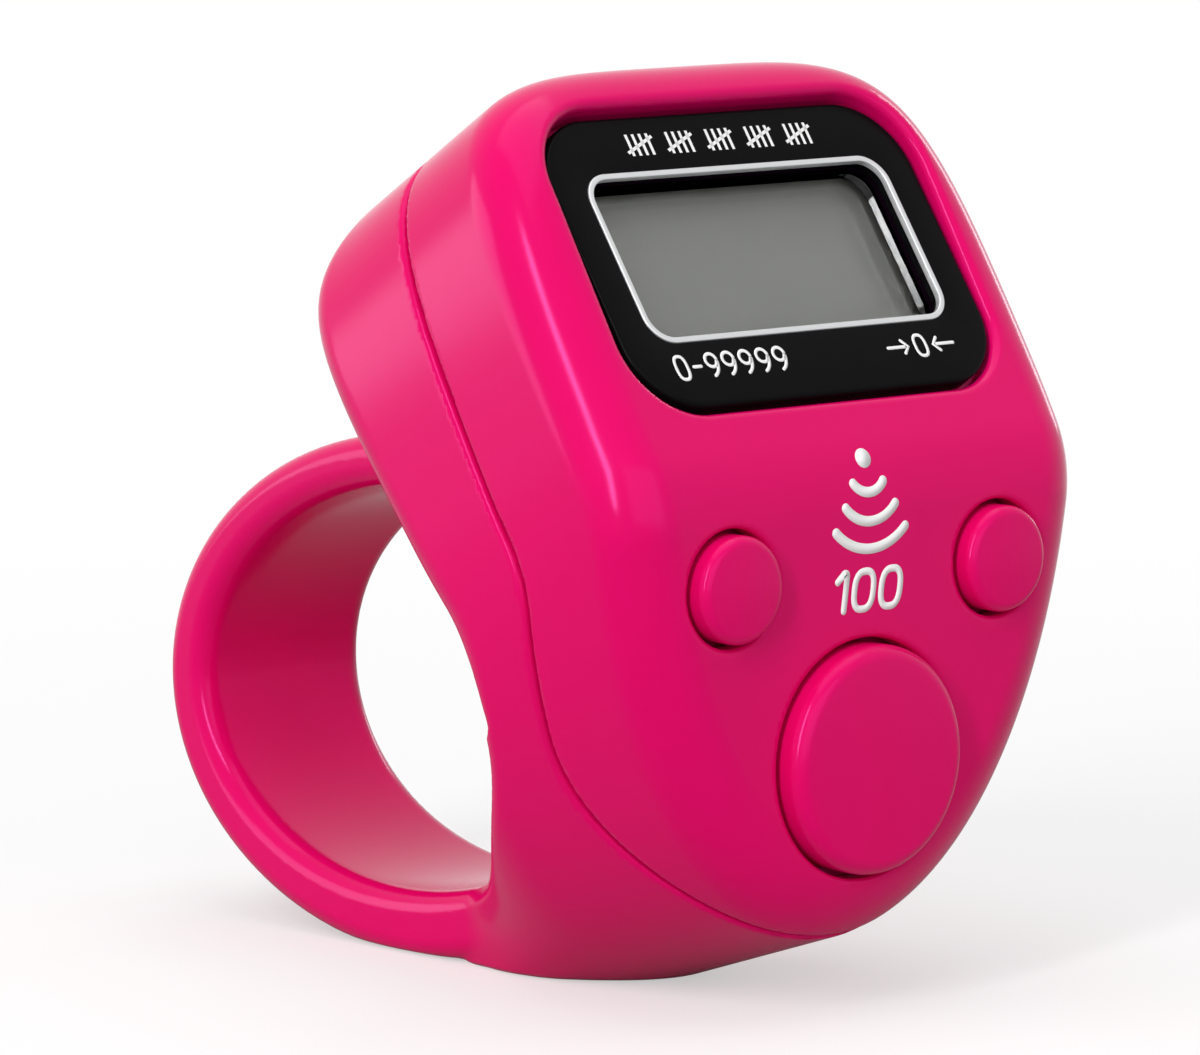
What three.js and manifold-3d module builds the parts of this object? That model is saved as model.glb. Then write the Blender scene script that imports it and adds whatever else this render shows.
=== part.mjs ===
// Finger tally counter: a two-shell head with a leaning display, three press buttons and a finger ring.
// Millimetres. X runs right, Y runs back, Z runs up. The origin is on the flat under the ring.

import * as THREE from "three";
import { mergeVertices } from "three/addons/utils/BufferGeometryUtils.js";
import Module from "manifold-3d";

const wasm = await Module();
wasm.setup();

const degrees = (angle) => THREE.MathUtils.degToRad(angle);

// Driving dimensions

// Head: the key face stands upright, the display face leans back above it
const head = {
  keyFaceY: -16.8,
  chinZ: 4.2,
  bendZ: 25.3,
  bendRadius: 7,
  lean: degrees(32),
  faceLength: 22.6,
  depth: 16.4,
  depthRow: 33,
  rearLean: degrees(40),
  rearWallY: -4.5,
  rearBlend: 1.5,
  chinSlope: degrees(17.8),
  slopeRows: 27,
  halfWidth: 15.05,
  widestRow: 26,
  chinPower: 2.05,
  topPower: 4.6,
  topNarrowing: 0.6,
  frontRound: 3,
  rearSideRound: 2,
  rearTopRound: 5.6,
  leastRound: 0.3,
};

// Walls and clearances
const wall = { front: 1.6, rear: 2, side: 1.6 };
const partingGap = 0.2;
const wallBite = 0.5;
const seatGap = 0.3;
const fitGap = 0.25;
const restGap = 0.1;
const farAway = 60;

// Parting line between the shells, as a depth behind the front surface
const parting = { chinDepth: 2.4, sideDepth: 8.3, blendRows: 13, overrun: 6 };
const lip = { thickness: 0.6, reach: 0.9, gap: 0.2, bite: 0.3 };

// Finger ring: an outer and an inner oval, seen from the side
const ring = {
  halfWidth: 5.3,
  rimRound: 1.1,
  outerY: 9.8,
  outerZ: 12.5,
  outerLong: 18.4,
  outerHigh: 12.7,
  outerPitch: degrees(-3),
  holeY: 10.1,
  holeZ: 12.9,
  holeLong: 15.1,
  holeHigh: 9.8,
  holePitch: degrees(-5),
  rootReachY: 7.5,
  taperStartY: -5,
  taperEndY: 6.5,
  taperLowRow: 8,
  taperHighRow: 16,
  rootLowRow: 11,
  rootHighRow: 15,
  edgeStart: -0.1,
  edgeEnd: 0.35,
};

// Display bezel, in its own leaning frame
const bezelRim = 3.65;
const bezel = {
  y: -10.2,
  z: 35.1,
  lean: degrees(35),
  width: 2 * (head.halfWidth - bezelRim),
  height: 15.3,
  corner: 3.6,
  thickness: 0.9,
  windowSide: 2.2,
  windowHeight: 8.4,
  windowCorner: 1.2,
  windowRise: 0.2,
  get windowWidth() {
    return this.width - 2 * this.windowSide;
  },
};
const trim = { width: 0.3, thickness: 0.35, proud: 0.05, gap: 0.05, innerGap: 0.02 };
const pocket = { floor: 1, margin: 1.2, blockCorner: 0.5 };
const windowPane = { margin: 0.25, thickness: 0.7, gap: 0.2 };
const glass = {
  overlap: 0.7,
  thickness: 0.7,
  ledge: 1.2,
  innerHeight: 10.6,
  corner: 0.2,
  get width() {
    return bezel.windowWidth + 2 * this.overlap;
  },
};
const reflector = { inset: 0.4, thickness: 0.2 };
const glassFrame = { wall: 0.4, gap: 0.25, corner: 0.6, innerCorner: 0.3 };
const zebra = {
  endIn: 1.1,
  thickness: 0.9,
  inset: 0.05,
  corner: 0.1,
  get width() {
    return glass.width - 2 * this.endIn;
  },
};
const boardBoss = {
  frameGap: 0.1,
  y: 3.2,
  radius: 0.85,
  pilot: 0.45,
  blind: 1,
  bite: 0.3,
  get x() {
    return glass.width / 2 + glassFrame.gap + glassFrame.wall + this.frameGap + this.radius;
  },
};
const displayBoard = {
  bossMargin: 0.8,
  top: 7,
  bottom: -8.2,
  thickness: 0.8,
  depth: 5.6,
  corner: 2,
  get halfWidth() {
    return boardBoss.x + this.bossMargin;
  },
};
const boardScrew = { shank: 0.4, head: 0.75, topShare: 0.8, headHeight: 0.5, tipGap: 0.3, holeGap: 0.15 };
const chipBlob = { edgeIn: 3.7, y: -2, radius: 2.3, height: 0.9, steps: 4 };
const crystal = { edgeIn: 3.5, y: 3.4, radius: 0.7, length: 4 };
const capacitor = { edgeIn: 3.7, firstY: 3, pitch: 2, length: 2, width: 1.1, height: 0.9 };

// Buttons: bores run straight back through the upright key face
const buttonFit = {
  bore: 0.25,
  travel: 0.5,
  flange: 0.8,
  flangeRim: 0.85,
  behindWall: 0.3,
  dome: 0.1,
  steps: 4,
};
const countKey = { x: 0, z: 12.1, radius: 5.35, proud: 1.1, edge: 0.75 };
const sideKey = { sideIn: 6.65, z: 20.7, radius: 2.5, proud: 0.8, edge: 0.5 };
const buttons = [
  { name: "count", ...countKey },
  { name: "reset", ...sideKey, x: head.halfWidth - sideKey.sideIn },
  { name: "mode", ...sideKey, x: sideKey.sideIn - head.halfWidth },
];
const tactSwitch = {
  size: 4.5,
  baseHeight: 1.6,
  coverThickness: 0.15,
  plungerRadius: 1,
  plungerGap: 0.2,
  plungerProud: 0.65,
  boreDepth: 1.2,
  stemRadius: 1.5,
  stemGap: 0.1,
  innerGap: 0.2,
};
const keyBoard = { frontY: -10.9, thickness: 1, bottom: 8.4, top: 23.3, margin: 0.9, rows: 9 };

// Screws that join the shells, driven from behind below the ring's root
const caseScrew = {
  keyGap: 0.573,
  z: 15.2,
  head: 1.6,
  headHeight: 1,
  shank: 0.7,
  boss: 1.9,
  sunk: 0.1,
  headGap: 0.2,
  pilotGap: 0.1,
  blind: 0.4,
  tipGap: 0.3,
  get x() {
    const reach = countKey.radius + buttonFit.flangeRim + this.keyGap + this.boss;
    return Math.sqrt(reach ** 2 - (this.z - countKey.z) ** 2);
  },
};

// Battery compartment, in a frame that leans with the rear wall
const cell = { radius: 3.95, height: 3.6, depth: 2.9, canGap: 0.25, edge: 0.3 };
const holder = { wall: 0.5, floor: 0.7, wallStart: 4.9, springRoom: 0.5 };
const door = {
  width: 15.5,
  height: 9.8,
  corner: 1.6,
  thickness: 1.1,
  gap: 0.2,
  ledge: 0.8,
  ledgeSide: 3,
  aboveRoot: 0.3,
  cutOut: 0.4,
  recessReach: 3,
  openingReach: 4,
  frontClear: 0.5,
};
const doorTab = {
  width: 3,
  reach: 1.6,
  thickness: 0.6,
  gap: 0.2,
  stem: 0.8,
  stemTop: 0.8,
  stemIn: 0.6,
  rootIn: 1,
};
const doorScrew = {
  x: 6.1,
  head: 0.9,
  headHeight: 0.4,
  shank: 0.45,
  length: 2,
  sunk: 0.05,
  gap: 0.15,
  sinkGap: 0.1,
  pilotGap: 0.1,
  post: 1.1,
  postTop: 1.6,
  postEnd: 3.4,
};
const contact = { thickness: 0.15, width: 2.4, shorter: 1.2, topGap: 0.3 };
const screwSlot = { chamferStart: 0.3, top: 0.8, long: 1.1, wide: 0.26, deep: 0.5 };

// Buzzer, against the wall in front of the finger hole
const buzzer = {
  z: 11.5,
  radius: 5,
  thickness: 0.25,
  ceramicRadius: 3.4,
  ceramicThickness: 0.2,
  gap: 0.05,
  wallGap: 0.4,
};
const lead = { radius: 0.25, spread: 1.6, gap: 0.15, segments: 8 };
const ribbon = {
  width: 6,
  thickness: 0.2,
  rise: 1.4,
  lift: 0.3,
  swing: 1.6,
  drop: 2.2,
  landing: 3,
  steps: 14,
};

// Facets
const facets = {
  outlineLow: 18,
  outlineHigh: 10,
  innerLow: 11,
  innerHigh: 7,
  oval: 44,
  round: 4,
  innerRound: 3,
  along: 5,
  parting: 32,
  disc: 24,
  small: 12,
  corner: 4,
};

// Head surface: every point is a place across (x), a row up the front and a depth behind it

const bendTangent = head.bendRadius * Math.tan(head.lean / 2);
const uprightRows = head.bendZ - head.chinZ - bendTangent;
const bendRows = head.bendRadius * head.lean;
const topRow = uprightRows + bendRows + head.faceLength - bendTangent;
const leanStart = {
  y: head.keyFaceY + bendTangent * Math.sin(head.lean),
  z: head.bendZ + bendTangent * Math.cos(head.lean),
};

/** Point of the front surface, in the side view, at a row counted up from the chin. */
function frontPoint(row) {
  if (row <= uprightRows) {
    return { y: head.keyFaceY, z: head.chinZ + row };
  }
  if (row <= uprightRows + bendRows) {
    const turn = (row - uprightRows) / head.bendRadius;
    return {
      y: head.keyFaceY + head.bendRadius * (1 - Math.cos(turn)),
      z: head.bendZ - bendTangent + head.bendRadius * Math.sin(turn),
    };
  }
  const run = row - uprightRows - bendRows;
  return { y: leanStart.y + run * Math.sin(head.lean), z: leanStart.z + run * Math.cos(head.lean) };
}

/** How far a depth line falls as it runs back: gentle at the chin, the face's lean at the display. */
function fallAt(row) {
  const blend = THREE.MathUtils.smoothstep(row, 0, head.slopeRows);
  return THREE.MathUtils.lerp(head.chinSlope, head.lean, blend);
}

// The leaning rear wall passes through this point, behind the middle of the display
const rearMiddle = place(0, head.depthRow, head.depth);

/** Depth of the rear wall behind a row of the front surface. */
function rearDepthAt(row, rearWallY) {
  const front = frontPoint(row);
  const fall = fallAt(row);
  const across =
    (rearMiddle.y - front.y) * Math.cos(head.rearLean) - (rearMiddle.z - front.z) * Math.sin(head.rearLean);
  const toUpright = (rearWallY - front.y) / Math.cos(fall);
  const toLeaning = across / Math.cos(head.rearLean - fall);
  const overlap = Math.max(head.rearBlend - Math.abs(toUpright - toLeaning), 0) / head.rearBlend;
  return Math.max(toUpright, toLeaning) + (overlap ** 2 * head.rearBlend) / 4;
}

/** Rear limit of the solid head: the lowest rows run on under the finger hole as the ring's root. */
function rootWallY(row) {
  const blend = THREE.MathUtils.smoothstep(row, ring.rootLowRow, ring.rootHighRow);
  return THREE.MathUtils.lerp(ring.rootReachY, head.rearWallY, blend);
}

function place(x, row, depth) {
  const front = frontPoint(row);
  const fall = fallAt(row);
  return new THREE.Vector3(x, front.y + depth * Math.cos(fall), front.z - depth * Math.sin(fall));
}

/** Half width of the head's outline at a row: an egg-shaped chin below, rounded top corners above. */
function halfWidthAt(row) {
  if (row < head.widestRow) {
    const drop = 1 - Math.max(row, 0) / head.widestRow;
    return head.halfWidth * Math.sqrt(1 - drop ** head.chinPower);
  }
  const rise = Math.min((row - head.widestRow) / (topRow - head.widestRow), 1);
  const straight = head.halfWidth - head.topNarrowing * rise ** 2;
  return straight * (1 - rise ** head.topPower) ** (1 / head.topPower);
}

/** Row whose depth line passes through a point of the side view. */
function rowThrough(y, z) {
  let row = z - head.chinZ;
  for (let pass = 0; pass < 12; pass += 1) {
    row = z - head.chinZ + (y - head.keyFaceY) * Math.tan(fallAt(row));
  }
  return row;
}

/** The low rows narrow towards the ring as they run back. */
function taperedHalfWidth(halfWidth, row, y) {
  if (halfWidth <= ring.halfWidth) {
    return halfWidth;
  }
  const back = THREE.MathUtils.smoothstep(y, ring.taperStartY, ring.taperEndY);
  const low = 1 - THREE.MathUtils.smoothstep(row, ring.taperLowRow, ring.taperHighRow);
  return THREE.MathUtils.lerp(halfWidth, ring.halfWidth, back * low);
}

/** Right half of the outline, from the chin to the top, with its outward normals. */
function halfOutline(lowCount, highCount) {
  const points = [];
  for (let i = 0; i < lowCount; i += 1) {
    const angle = (i / lowCount) * (Math.PI / 2);
    const row = head.widestRow * (1 - Math.cos(angle) ** (2 / head.chinPower));
    points.push(new THREE.Vector2(head.halfWidth * Math.sin(angle), row));
  }
  const high = topRow - head.widestRow;
  for (let i = 0; i <= highCount; i += 1) {
    const angle = (i / highCount) * (Math.PI / 2);
    const rise = Math.sin(angle) ** (2 / head.topPower);
    const x = (head.halfWidth - head.topNarrowing * rise ** 2) * Math.cos(angle) ** (2 / head.topPower);
    points.push(new THREE.Vector2(i === highCount ? 0 : x, head.widestRow + high * rise));
  }
  return points.map((point, i) => {
    if (i === 0 || i === points.length - 1) {
      return { point, normal: new THREE.Vector2(0, i === 0 ? -1 : 1) };
    }
    const along = points[i + 1].clone().sub(points[i - 1]).normalize();
    return { point, normal: new THREE.Vector2(along.y, -along.x) };
  });
}

// Mesh helpers

function geometryFrom(vertices, triangles) {
  const geometry = new THREE.BufferGeometry();
  const positions = vertices.flatMap((vertex) => [vertex.x, vertex.y, vertex.z]);
  geometry.setAttribute("position", new THREE.Float32BufferAttribute(positions, 3));
  geometry.setIndex(triangles);
  return geometry;
}

function signedVolume(geometry) {
  const position = geometry.getAttribute("position");
  const index = geometry.getIndex();
  const corners = [new THREE.Vector3(), new THREE.Vector3(), new THREE.Vector3()];
  let total = 0;
  for (let i = 0; i < index.count; i += 3) {
    corners.forEach((corner, k) => corner.fromBufferAttribute(position, index.getX(i + k)));
    total += corners[0].dot(corners[1].clone().cross(corners[2]));
  }
  return total;
}

/** Keeps only positions, joins equal vertices and turns the faces outwards. */
function tidyMesh(geometry) {
  const bare = geometry.clone();
  bare.deleteAttribute("normal");
  bare.deleteAttribute("uv");
  const merged = mergeVertices(bare, 1e-4);
  const index = merged.getIndex();
  const kept = [];
  for (let i = 0; i < index.count; i += 3) {
    const [a, b, c] = [index.getX(i), index.getX(i + 1), index.getX(i + 2)];
    if (a !== b && b !== c && c !== a) {
      kept.push(a, b, c);
    }
  }
  merged.setIndex(kept);
  if (signedVolume(merged) < 0) {
    for (let i = 0; i < kept.length; i += 3) {
      [kept[i + 1], kept[i + 2]] = [kept[i + 2], kept[i + 1]];
    }
    merged.setIndex(kept);
  }
  return merged;
}

function toSolid(geometry) {
  const merged = tidyMesh(geometry);
  return new wasm.Manifold(
    new wasm.Mesh({
      numProp: 3,
      vertProperties: new Float32Array(merged.getAttribute("position").array),
      triVerts: new Uint32Array(merged.getIndex().array),
    }),
  );
}

/** Mesh of the main body of a solid, without the slivers that a cut may leave. */
function toGeometry(solid) {
  const [main] = solid.decompose().toSorted((a, b) => b.volume() - a.volume());
  const mesh = main.getMesh();
  const geometry = new THREE.BufferGeometry();
  geometry.setAttribute("position", new THREE.Float32BufferAttribute(mesh.vertProperties, 3));
  geometry.setIndex(Array.from(mesh.triVerts));
  return geometry;
}

const joined = (first, ...others) => others.reduce((solid, other) => solid.add(other), first);
const cutBy = (first, ...others) => others.reduce((solid, other) => solid.subtract(other), first);

/** Joins closed rings of points into a skin, end to end, with a cap function for each end. */
function skin(rings, capTriangles) {
  const count = rings[0].length;
  const vertices = rings.flat();
  const triangles = [];
  for (let k = 0; k + 1 < rings.length; k += 1) {
    for (let i = 0; i < count; i += 1) {
      const next = (i + 1) % count;
      const [a, b] = [k * count + i, k * count + next];
      const [c, d] = [a + count, b + count];
      triangles.push(a, b, d, a, d, c);
    }
  }
  const last = (rings.length - 1) * count;
  capTriangles.forEach(([a, b, c]) => {
    triangles.push(a, c, b);
    triangles.push(last + a, last + b, last + c);
  });
  return geometryFrom(vertices, triangles);
}

/** Cap that runs straight across between mirrored points of a ring with one point at each pole. */
function crossCap(count) {
  const half = count / 2;
  const triangles = [];
  for (let i = 0; i < half; i += 1) {
    const [rightLow, rightHigh] = [i, i + 1];
    const [leftLow, leftHigh] = [(count - i) % count, count - i - 1];
    if (i > 0) {
      triangles.push([leftLow, rightLow, rightHigh]);
    }
    if (i + 1 < half) {
      triangles.push([leftLow, rightHigh, leftHigh]);
    }
  }
  triangles[0] = [0, 1, count - 1];
  return triangles;
}

function fanCap(count) {
  return Array.from({ length: count - 2 }, (_, i) => [0, i + 1, i + 2]);
}

/**
 * Solid of the head, or of a space inside it.
 * shrink moves the outline in, front and rear move the two ends in, root lets the low rows run back.
 */
function headSolid({ shrink = 0, front = 0, rear = 0, root = false }) {
  const isInner = shrink > 0;
  const half = isInner
    ? halfOutline(facets.innerLow, facets.innerHigh)
    : halfOutline(facets.outlineLow, facets.outlineHigh);
  const roundSteps = isInner ? facets.innerRound : facets.round;
  const roundLess = (radius) => Math.max(radius - shrink, head.leastRound);
  const layer = (stage, share) => {
    const ringPoints = half.map(({ point, normal }) => {
      const up = Math.max(normal.y, 0) ** 2;
      const rearRound = roundLess(THREE.MathUtils.lerp(head.rearSideRound, head.rearTopRound, up));
      const frontRound = roundLess(head.frontRound);
      const angle = share * (Math.PI / 2);
      const inset = {
        front: frontRound * (1 - Math.sin(angle)),
        middle: 0,
        rear: rearRound * (1 - Math.sin(angle)),
      };
      const move = shrink + inset[stage];
      const row = point.y - normal.y * move;
      const rearWallY = root ? rootWallY(row) : head.rearWallY;
      const end = rearDepthAt(row, rearWallY) - rear;
      const depths = {
        front: front + frontRound * (1 - Math.cos(angle)),
        middle: THREE.MathUtils.lerp(front + frontRound, end - rearRound, share),
        rear: end - rearRound * (1 - Math.cos(angle)),
      };
      const middle = place(0, row, depths[stage]);
      const plainX = Math.max(point.x - normal.x * move, 0);
      const x = root ? taperedHalfWidth(plainX, row, middle.y) : plainX;
      return new THREE.Vector3(x, middle.y, middle.z);
    });
    const mirrored = ringPoints
      .slice(1, -1)
      .reverse()
      .map((point) => new THREE.Vector3(-point.x, point.y, point.z));
    return [...ringPoints, ...mirrored];
  };
  const shares = Array.from({ length: roundSteps }, (_, i) => i / (roundSteps - 1));
  const middleShares = Array.from({ length: facets.along - 1 }, (_, i) => (i + 1) / facets.along);
  const rings = [
    ...shares.map((share) => layer("front", share)),
    ...middleShares.map((share) => layer("middle", share)),
    ...shares.toReversed().map((share) => layer("rear", share)),
  ];
  return toSolid(skin(rings, crossCap(rings[0].length)));
}

/** Point of a tilted oval in the side view. */
function ovalPoint(angle, centreY, centreZ, long, high, pitch) {
  const along = long * Math.cos(angle);
  const up = high * Math.sin(angle);
  return {
    y: centreY + along * Math.cos(pitch) - up * Math.sin(pitch),
    z: centreZ + along * Math.sin(pitch) + up * Math.cos(pitch),
  };
}

const ovalAngles = Array.from({ length: facets.oval }, (_, i) => (i / facets.oval) * 2 * Math.PI);
const outerOval = (angle, grow) => ovalPoint(
  angle, ring.outerY, ring.outerZ, ring.outerLong + grow, ring.outerHigh + grow, ring.outerPitch);
const holeOval = (angle, grow) => ovalPoint(
  angle, ring.holeY, ring.holeZ, ring.holeLong + grow, ring.holeHigh + grow, ring.holePitch);

/** Full disc of the ring with rounded rims; the finger hole is cut through it afterwards. */
function ringDisc() {
  const steps = Array.from({ length: facets.round }, (_, i) => (i / (facets.round - 1)) * (Math.PI / 2));
  const side = steps.map((angle) => ({
    x: ring.halfWidth - ring.rimRound * (1 - Math.sin(angle)),
    grow: -ring.rimRound * (1 - Math.cos(angle)),
  }));
  const stations = [
    ...side.toReversed().map(({ x, grow }) => ({ x: -x, grow })),
    ...side.map(({ x, grow }) => ({ x, grow })),
  ];
  const rings = stations.map(({ x, grow }) => ovalAngles.map((angle) => {
    const point = outerOval(angle, grow);
    return new THREE.Vector3(x, point.y, point.z);
  }));
  return toSolid(skin(rings, fanCap(facets.oval)));
}

/** Finger hole with a rounded edge that follows the side of the ring and of the head. */
function fingerHole() {
  const sideAt = (angle) => {
    const point = holeOval(angle, 0);
    const row = rowThrough(point.y, point.z);
    const forward = THREE.MathUtils.smoothstep(-Math.cos(angle), ring.edgeStart, ring.edgeEnd);
    const headSide = taperedHalfWidth(halfWidthAt(row), row, point.y);
    return THREE.MathUtils.lerp(ring.halfWidth, Math.max(headSide, ring.halfWidth), forward);
  };
  const steps = Array.from({ length: facets.round }, (_, i) => (i / (facets.round - 1)) * (Math.PI / 2));
  const station = (sign, edgeShare, grow, reach) => ovalAngles.map((angle) => {
    const point = holeOval(angle, grow);
    const side = sideAt(angle) - ring.rimRound * (1 - edgeShare) + reach;
    return new THREE.Vector3(sign * side, point.y, point.z);
  });
  const edge = (sign) => steps.map((angle) =>
    station(sign, Math.sin(angle), ring.rimRound * (1 - Math.cos(angle)), 0));
  const rings = [
    station(-1, 1, ring.rimRound, farAway),
    ...edge(-1).toReversed(),
    ...edge(1),
    station(1, 1, ring.rimRound, farAway),
  ];
  return toSolid(skin(rings, fanCap(facets.oval)));
}

/** Region in front of the parting surface, moved back by a shift. */
function frontRegion(shift) {
  const outline = new THREE.Shape();
  const start = place(0, -parting.overrun, -farAway);
  outline.moveTo(start.y, start.z - farAway);
  for (let i = 0; i <= facets.parting; i += 1) {
    const row = THREE.MathUtils.lerp(-parting.overrun, topRow + parting.overrun, i / facets.parting);
    const reach = Math.sin((Math.PI / 2) * THREE.MathUtils.clamp(row / parting.blendRows, 0, 1));
    const depth = THREE.MathUtils.lerp(parting.chinDepth, parting.sideDepth, reach) + shift;
    const point = place(0, row, depth);
    if (i === 0) {
      outline.lineTo(point.y, point.z - farAway);
    }
    outline.lineTo(point.y, point.z);
  }
  const end = place(0, topRow + parting.overrun, -farAway);
  outline.lineTo(end.y, end.z + farAway);
  outline.lineTo(start.y, end.z + farAway);
  outline.closePath();
  return prismAcross(outline, 2 * farAway, 0);
}

/** Prism of a side-view outline (Y, Z), centred on an x. */
function prismAcross(outline, width, x) {
  const geometry = new THREE.ExtrudeGeometry(outline, { depth: width, bevelEnabled: false });
  const turn = new THREE.Matrix4().makeBasis(
    new THREE.Vector3(0, 1, 0), new THREE.Vector3(0, 0, 1), new THREE.Vector3(1, 0, 0));
  geometry.applyMatrix4(turn);
  geometry.translate(x - width / 2, 0, 0);
  return toSolid(geometry);
}

function boxSolid(width, depth, height, centre) {
  const geometry = new THREE.BoxGeometry(width, depth, height);
  geometry.translate(centre.x, centre.y, centre.z);
  return toSolid(geometry);
}

function roundedRectangle(width, height, corner, centreY = 0) {
  const shape = new THREE.Shape();
  const [right, top, bottom] = [width / 2, centreY + height / 2, centreY - height / 2];
  shape.moveTo(-right + corner, bottom);
  shape.lineTo(right - corner, bottom);
  shape.absarc(right - corner, bottom + corner, corner, -Math.PI / 2, 0);
  shape.lineTo(right, top - corner);
  shape.absarc(right - corner, top - corner, corner, 0, Math.PI / 2);
  shape.lineTo(-right + corner, top);
  shape.absarc(-right + corner, top - corner, corner, Math.PI / 2, Math.PI);
  shape.lineTo(-right, bottom + corner);
  shape.absarc(-right + corner, bottom + corner, corner, Math.PI, Math.PI * 1.5);
  return shape;
}

/** Plate between two heights of its own frame, optionally with holes. */
function plate(shape, low, high, holes = []) {
  const cut = shape.clone();
  holes.forEach((hole) => cut.holes.push(hole));
  const geometry = new THREE.ExtrudeGeometry(cut, {
    depth: high - low, bevelEnabled: false, curveSegments: facets.corner,
  });
  geometry.translate(0, 0, low);
  return geometry;
}

/** Body of revolution about Y, from [radius, y] pairs that start and end on the axis or close. */
function turned(pairs, segments, x = 0, y = 0, z = 0) {
  const geometry = new THREE.LatheGeometry(pairs.map(([r, h]) => new THREE.Vector2(r, h)), segments);
  geometry.translate(x, y, z);
  return geometry;
}

function cylinderPairs(radius, low, high) {
  return [[0, low], [radius, low], [radius, high], [0, high]];
}

/** The same about the local Z axis, for pieces of a leaning frame. */
function turnedOnZ(pairs, segments, x = 0, y = 0) {
  const geometry = turned(pairs, segments);
  geometry.rotateX(Math.PI / 2);
  geometry.translate(x, y, 0);
  return geometry;
}

/** The same again, with heights counted as depths behind the frame's face. */
function turnedInto(pairs, segments, x = 0, y = 0) {
  const geometry = turned(pairs, segments);
  geometry.rotateX(-Math.PI / 2);
  geometry.translate(x, y, 0);
  return geometry;
}

// Frames

const leaningFrame = (lean, y, z) => {
  const matrix = new THREE.Matrix4().makeBasis(
    new THREE.Vector3(1, 0, 0),
    new THREE.Vector3(0, Math.sin(lean), Math.cos(lean)),
    new THREE.Vector3(0, -Math.cos(lean), Math.sin(lean)),
  );
  return matrix.setPosition(0, y, z);
};
const displayFrame = leaningFrame(bezel.lean, bezel.y, bezel.z);

// Rear frame: its z runs out through the rear wall, and its origin is on the wall above the ring's root
const rootZ = ring.outerZ + ring.outerHigh;
const rearOriginY = rearMiddle.y - (rearMiddle.z - rootZ) * Math.tan(head.rearLean);
const rearFrame = new THREE.Matrix4()
  .makeBasis(
    new THREE.Vector3(-1, 0, 0),
    new THREE.Vector3(0, Math.sin(head.rearLean), Math.cos(head.rearLean)),
    new THREE.Vector3(0, Math.cos(head.rearLean), -Math.sin(head.rearLean)),
  )
  .setPosition(0, rearOriginY, rootZ);

const inFrame = (geometry, matrix) => toSolid(geometry.clone().applyMatrix4(matrix));

// Materials and assembly

const finishes = {
  pinkPlastic: { color: 0xdb1067, roughness: 0.18, metalness: 0 },
  blackPlastic: { color: 0x0b0b0c, roughness: 0.3, metalness: 0 },
  silverInk: { color: 0xb9b9ba, roughness: 0.35, metalness: 0.6 },
  clearPlastic: { color: 0xdfe3e2, roughness: 0.1, metalness: 0 },
  displayGrey: { color: 0x7d7d76, roughness: 0.4, metalness: 0 },
  whitePlastic: { color: 0xe6e4dd, roughness: 0.5, metalness: 0 },
  darkRubber: { color: 0x2c2c2e, roughness: 0.8, metalness: 0 },
  boardGreen: { color: 0x1d5b3a, roughness: 0.5, metalness: 0 },
  resinBlack: { color: 0x111111, roughness: 0.4, metalness: 0 },
  steel: { color: 0xb4b6b8, roughness: 0.3, metalness: 1 },
  brass: { color: 0xc8a250, roughness: 0.35, metalness: 1 },
  ceramic: { color: 0xe8e2d0, roughness: 0.6, metalness: 0 },
  redLead: { color: 0xa51d1d, roughness: 0.5, metalness: 0 },
  blackLead: { color: 0x1a1a1a, roughness: 0.5, metalness: 0 },
};

const counter = new THREE.Group();
const displayGroup = new THREE.Group();
displayGroup.applyMatrix4(displayFrame);
const rearGroup = new THREE.Group();
rearGroup.applyMatrix4(rearFrame);
counter.add(displayGroup, rearGroup);

function addPiece(name, geometry, finish, parent = counter) {
  const mesh = new THREE.Mesh(tidyMesh(geometry), new THREE.MeshStandardMaterial(finishes[finish]));
  mesh.name = name;
  parent.add(mesh);
  return mesh;
}

// Shells

const wallInnerY = head.keyFaceY + wall.front;
const keyBoardBackY = keyBoard.frontY + keyBoard.thickness;
const rearInnerY = head.rearWallY - wall.rear;
const pocketDepth = bezel.thickness + fitGap;
const pocketFloorDepth = pocketDepth + pocket.floor;
const glassDepth = pocketFloorDepth + fitGap;
const glassHeight = glass.innerHeight + 2 * glass.ledge;
const frameWidth = glass.width + 2 * (glassFrame.gap + glassFrame.wall);
const frameHeight = glassHeight + 2 * (glassFrame.gap + glassFrame.wall);
const boardBack = displayBoard.depth + displayBoard.thickness;

const floor = boxSolid(2 * farAway, 2 * farAway, farAway, { x: 0, y: 0, z: -farAway / 2 });
const outer = cutBy(joined(headSolid({ root: true }), ringDisc()), fingerHole(), floor);
const cavity = headSolid({ shrink: wall.side, front: wall.front, rear: wall.rear });
const frontSide = frontRegion(-partingGap / 2);
const rearSide = frontRegion(partingGap / 2);

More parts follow.
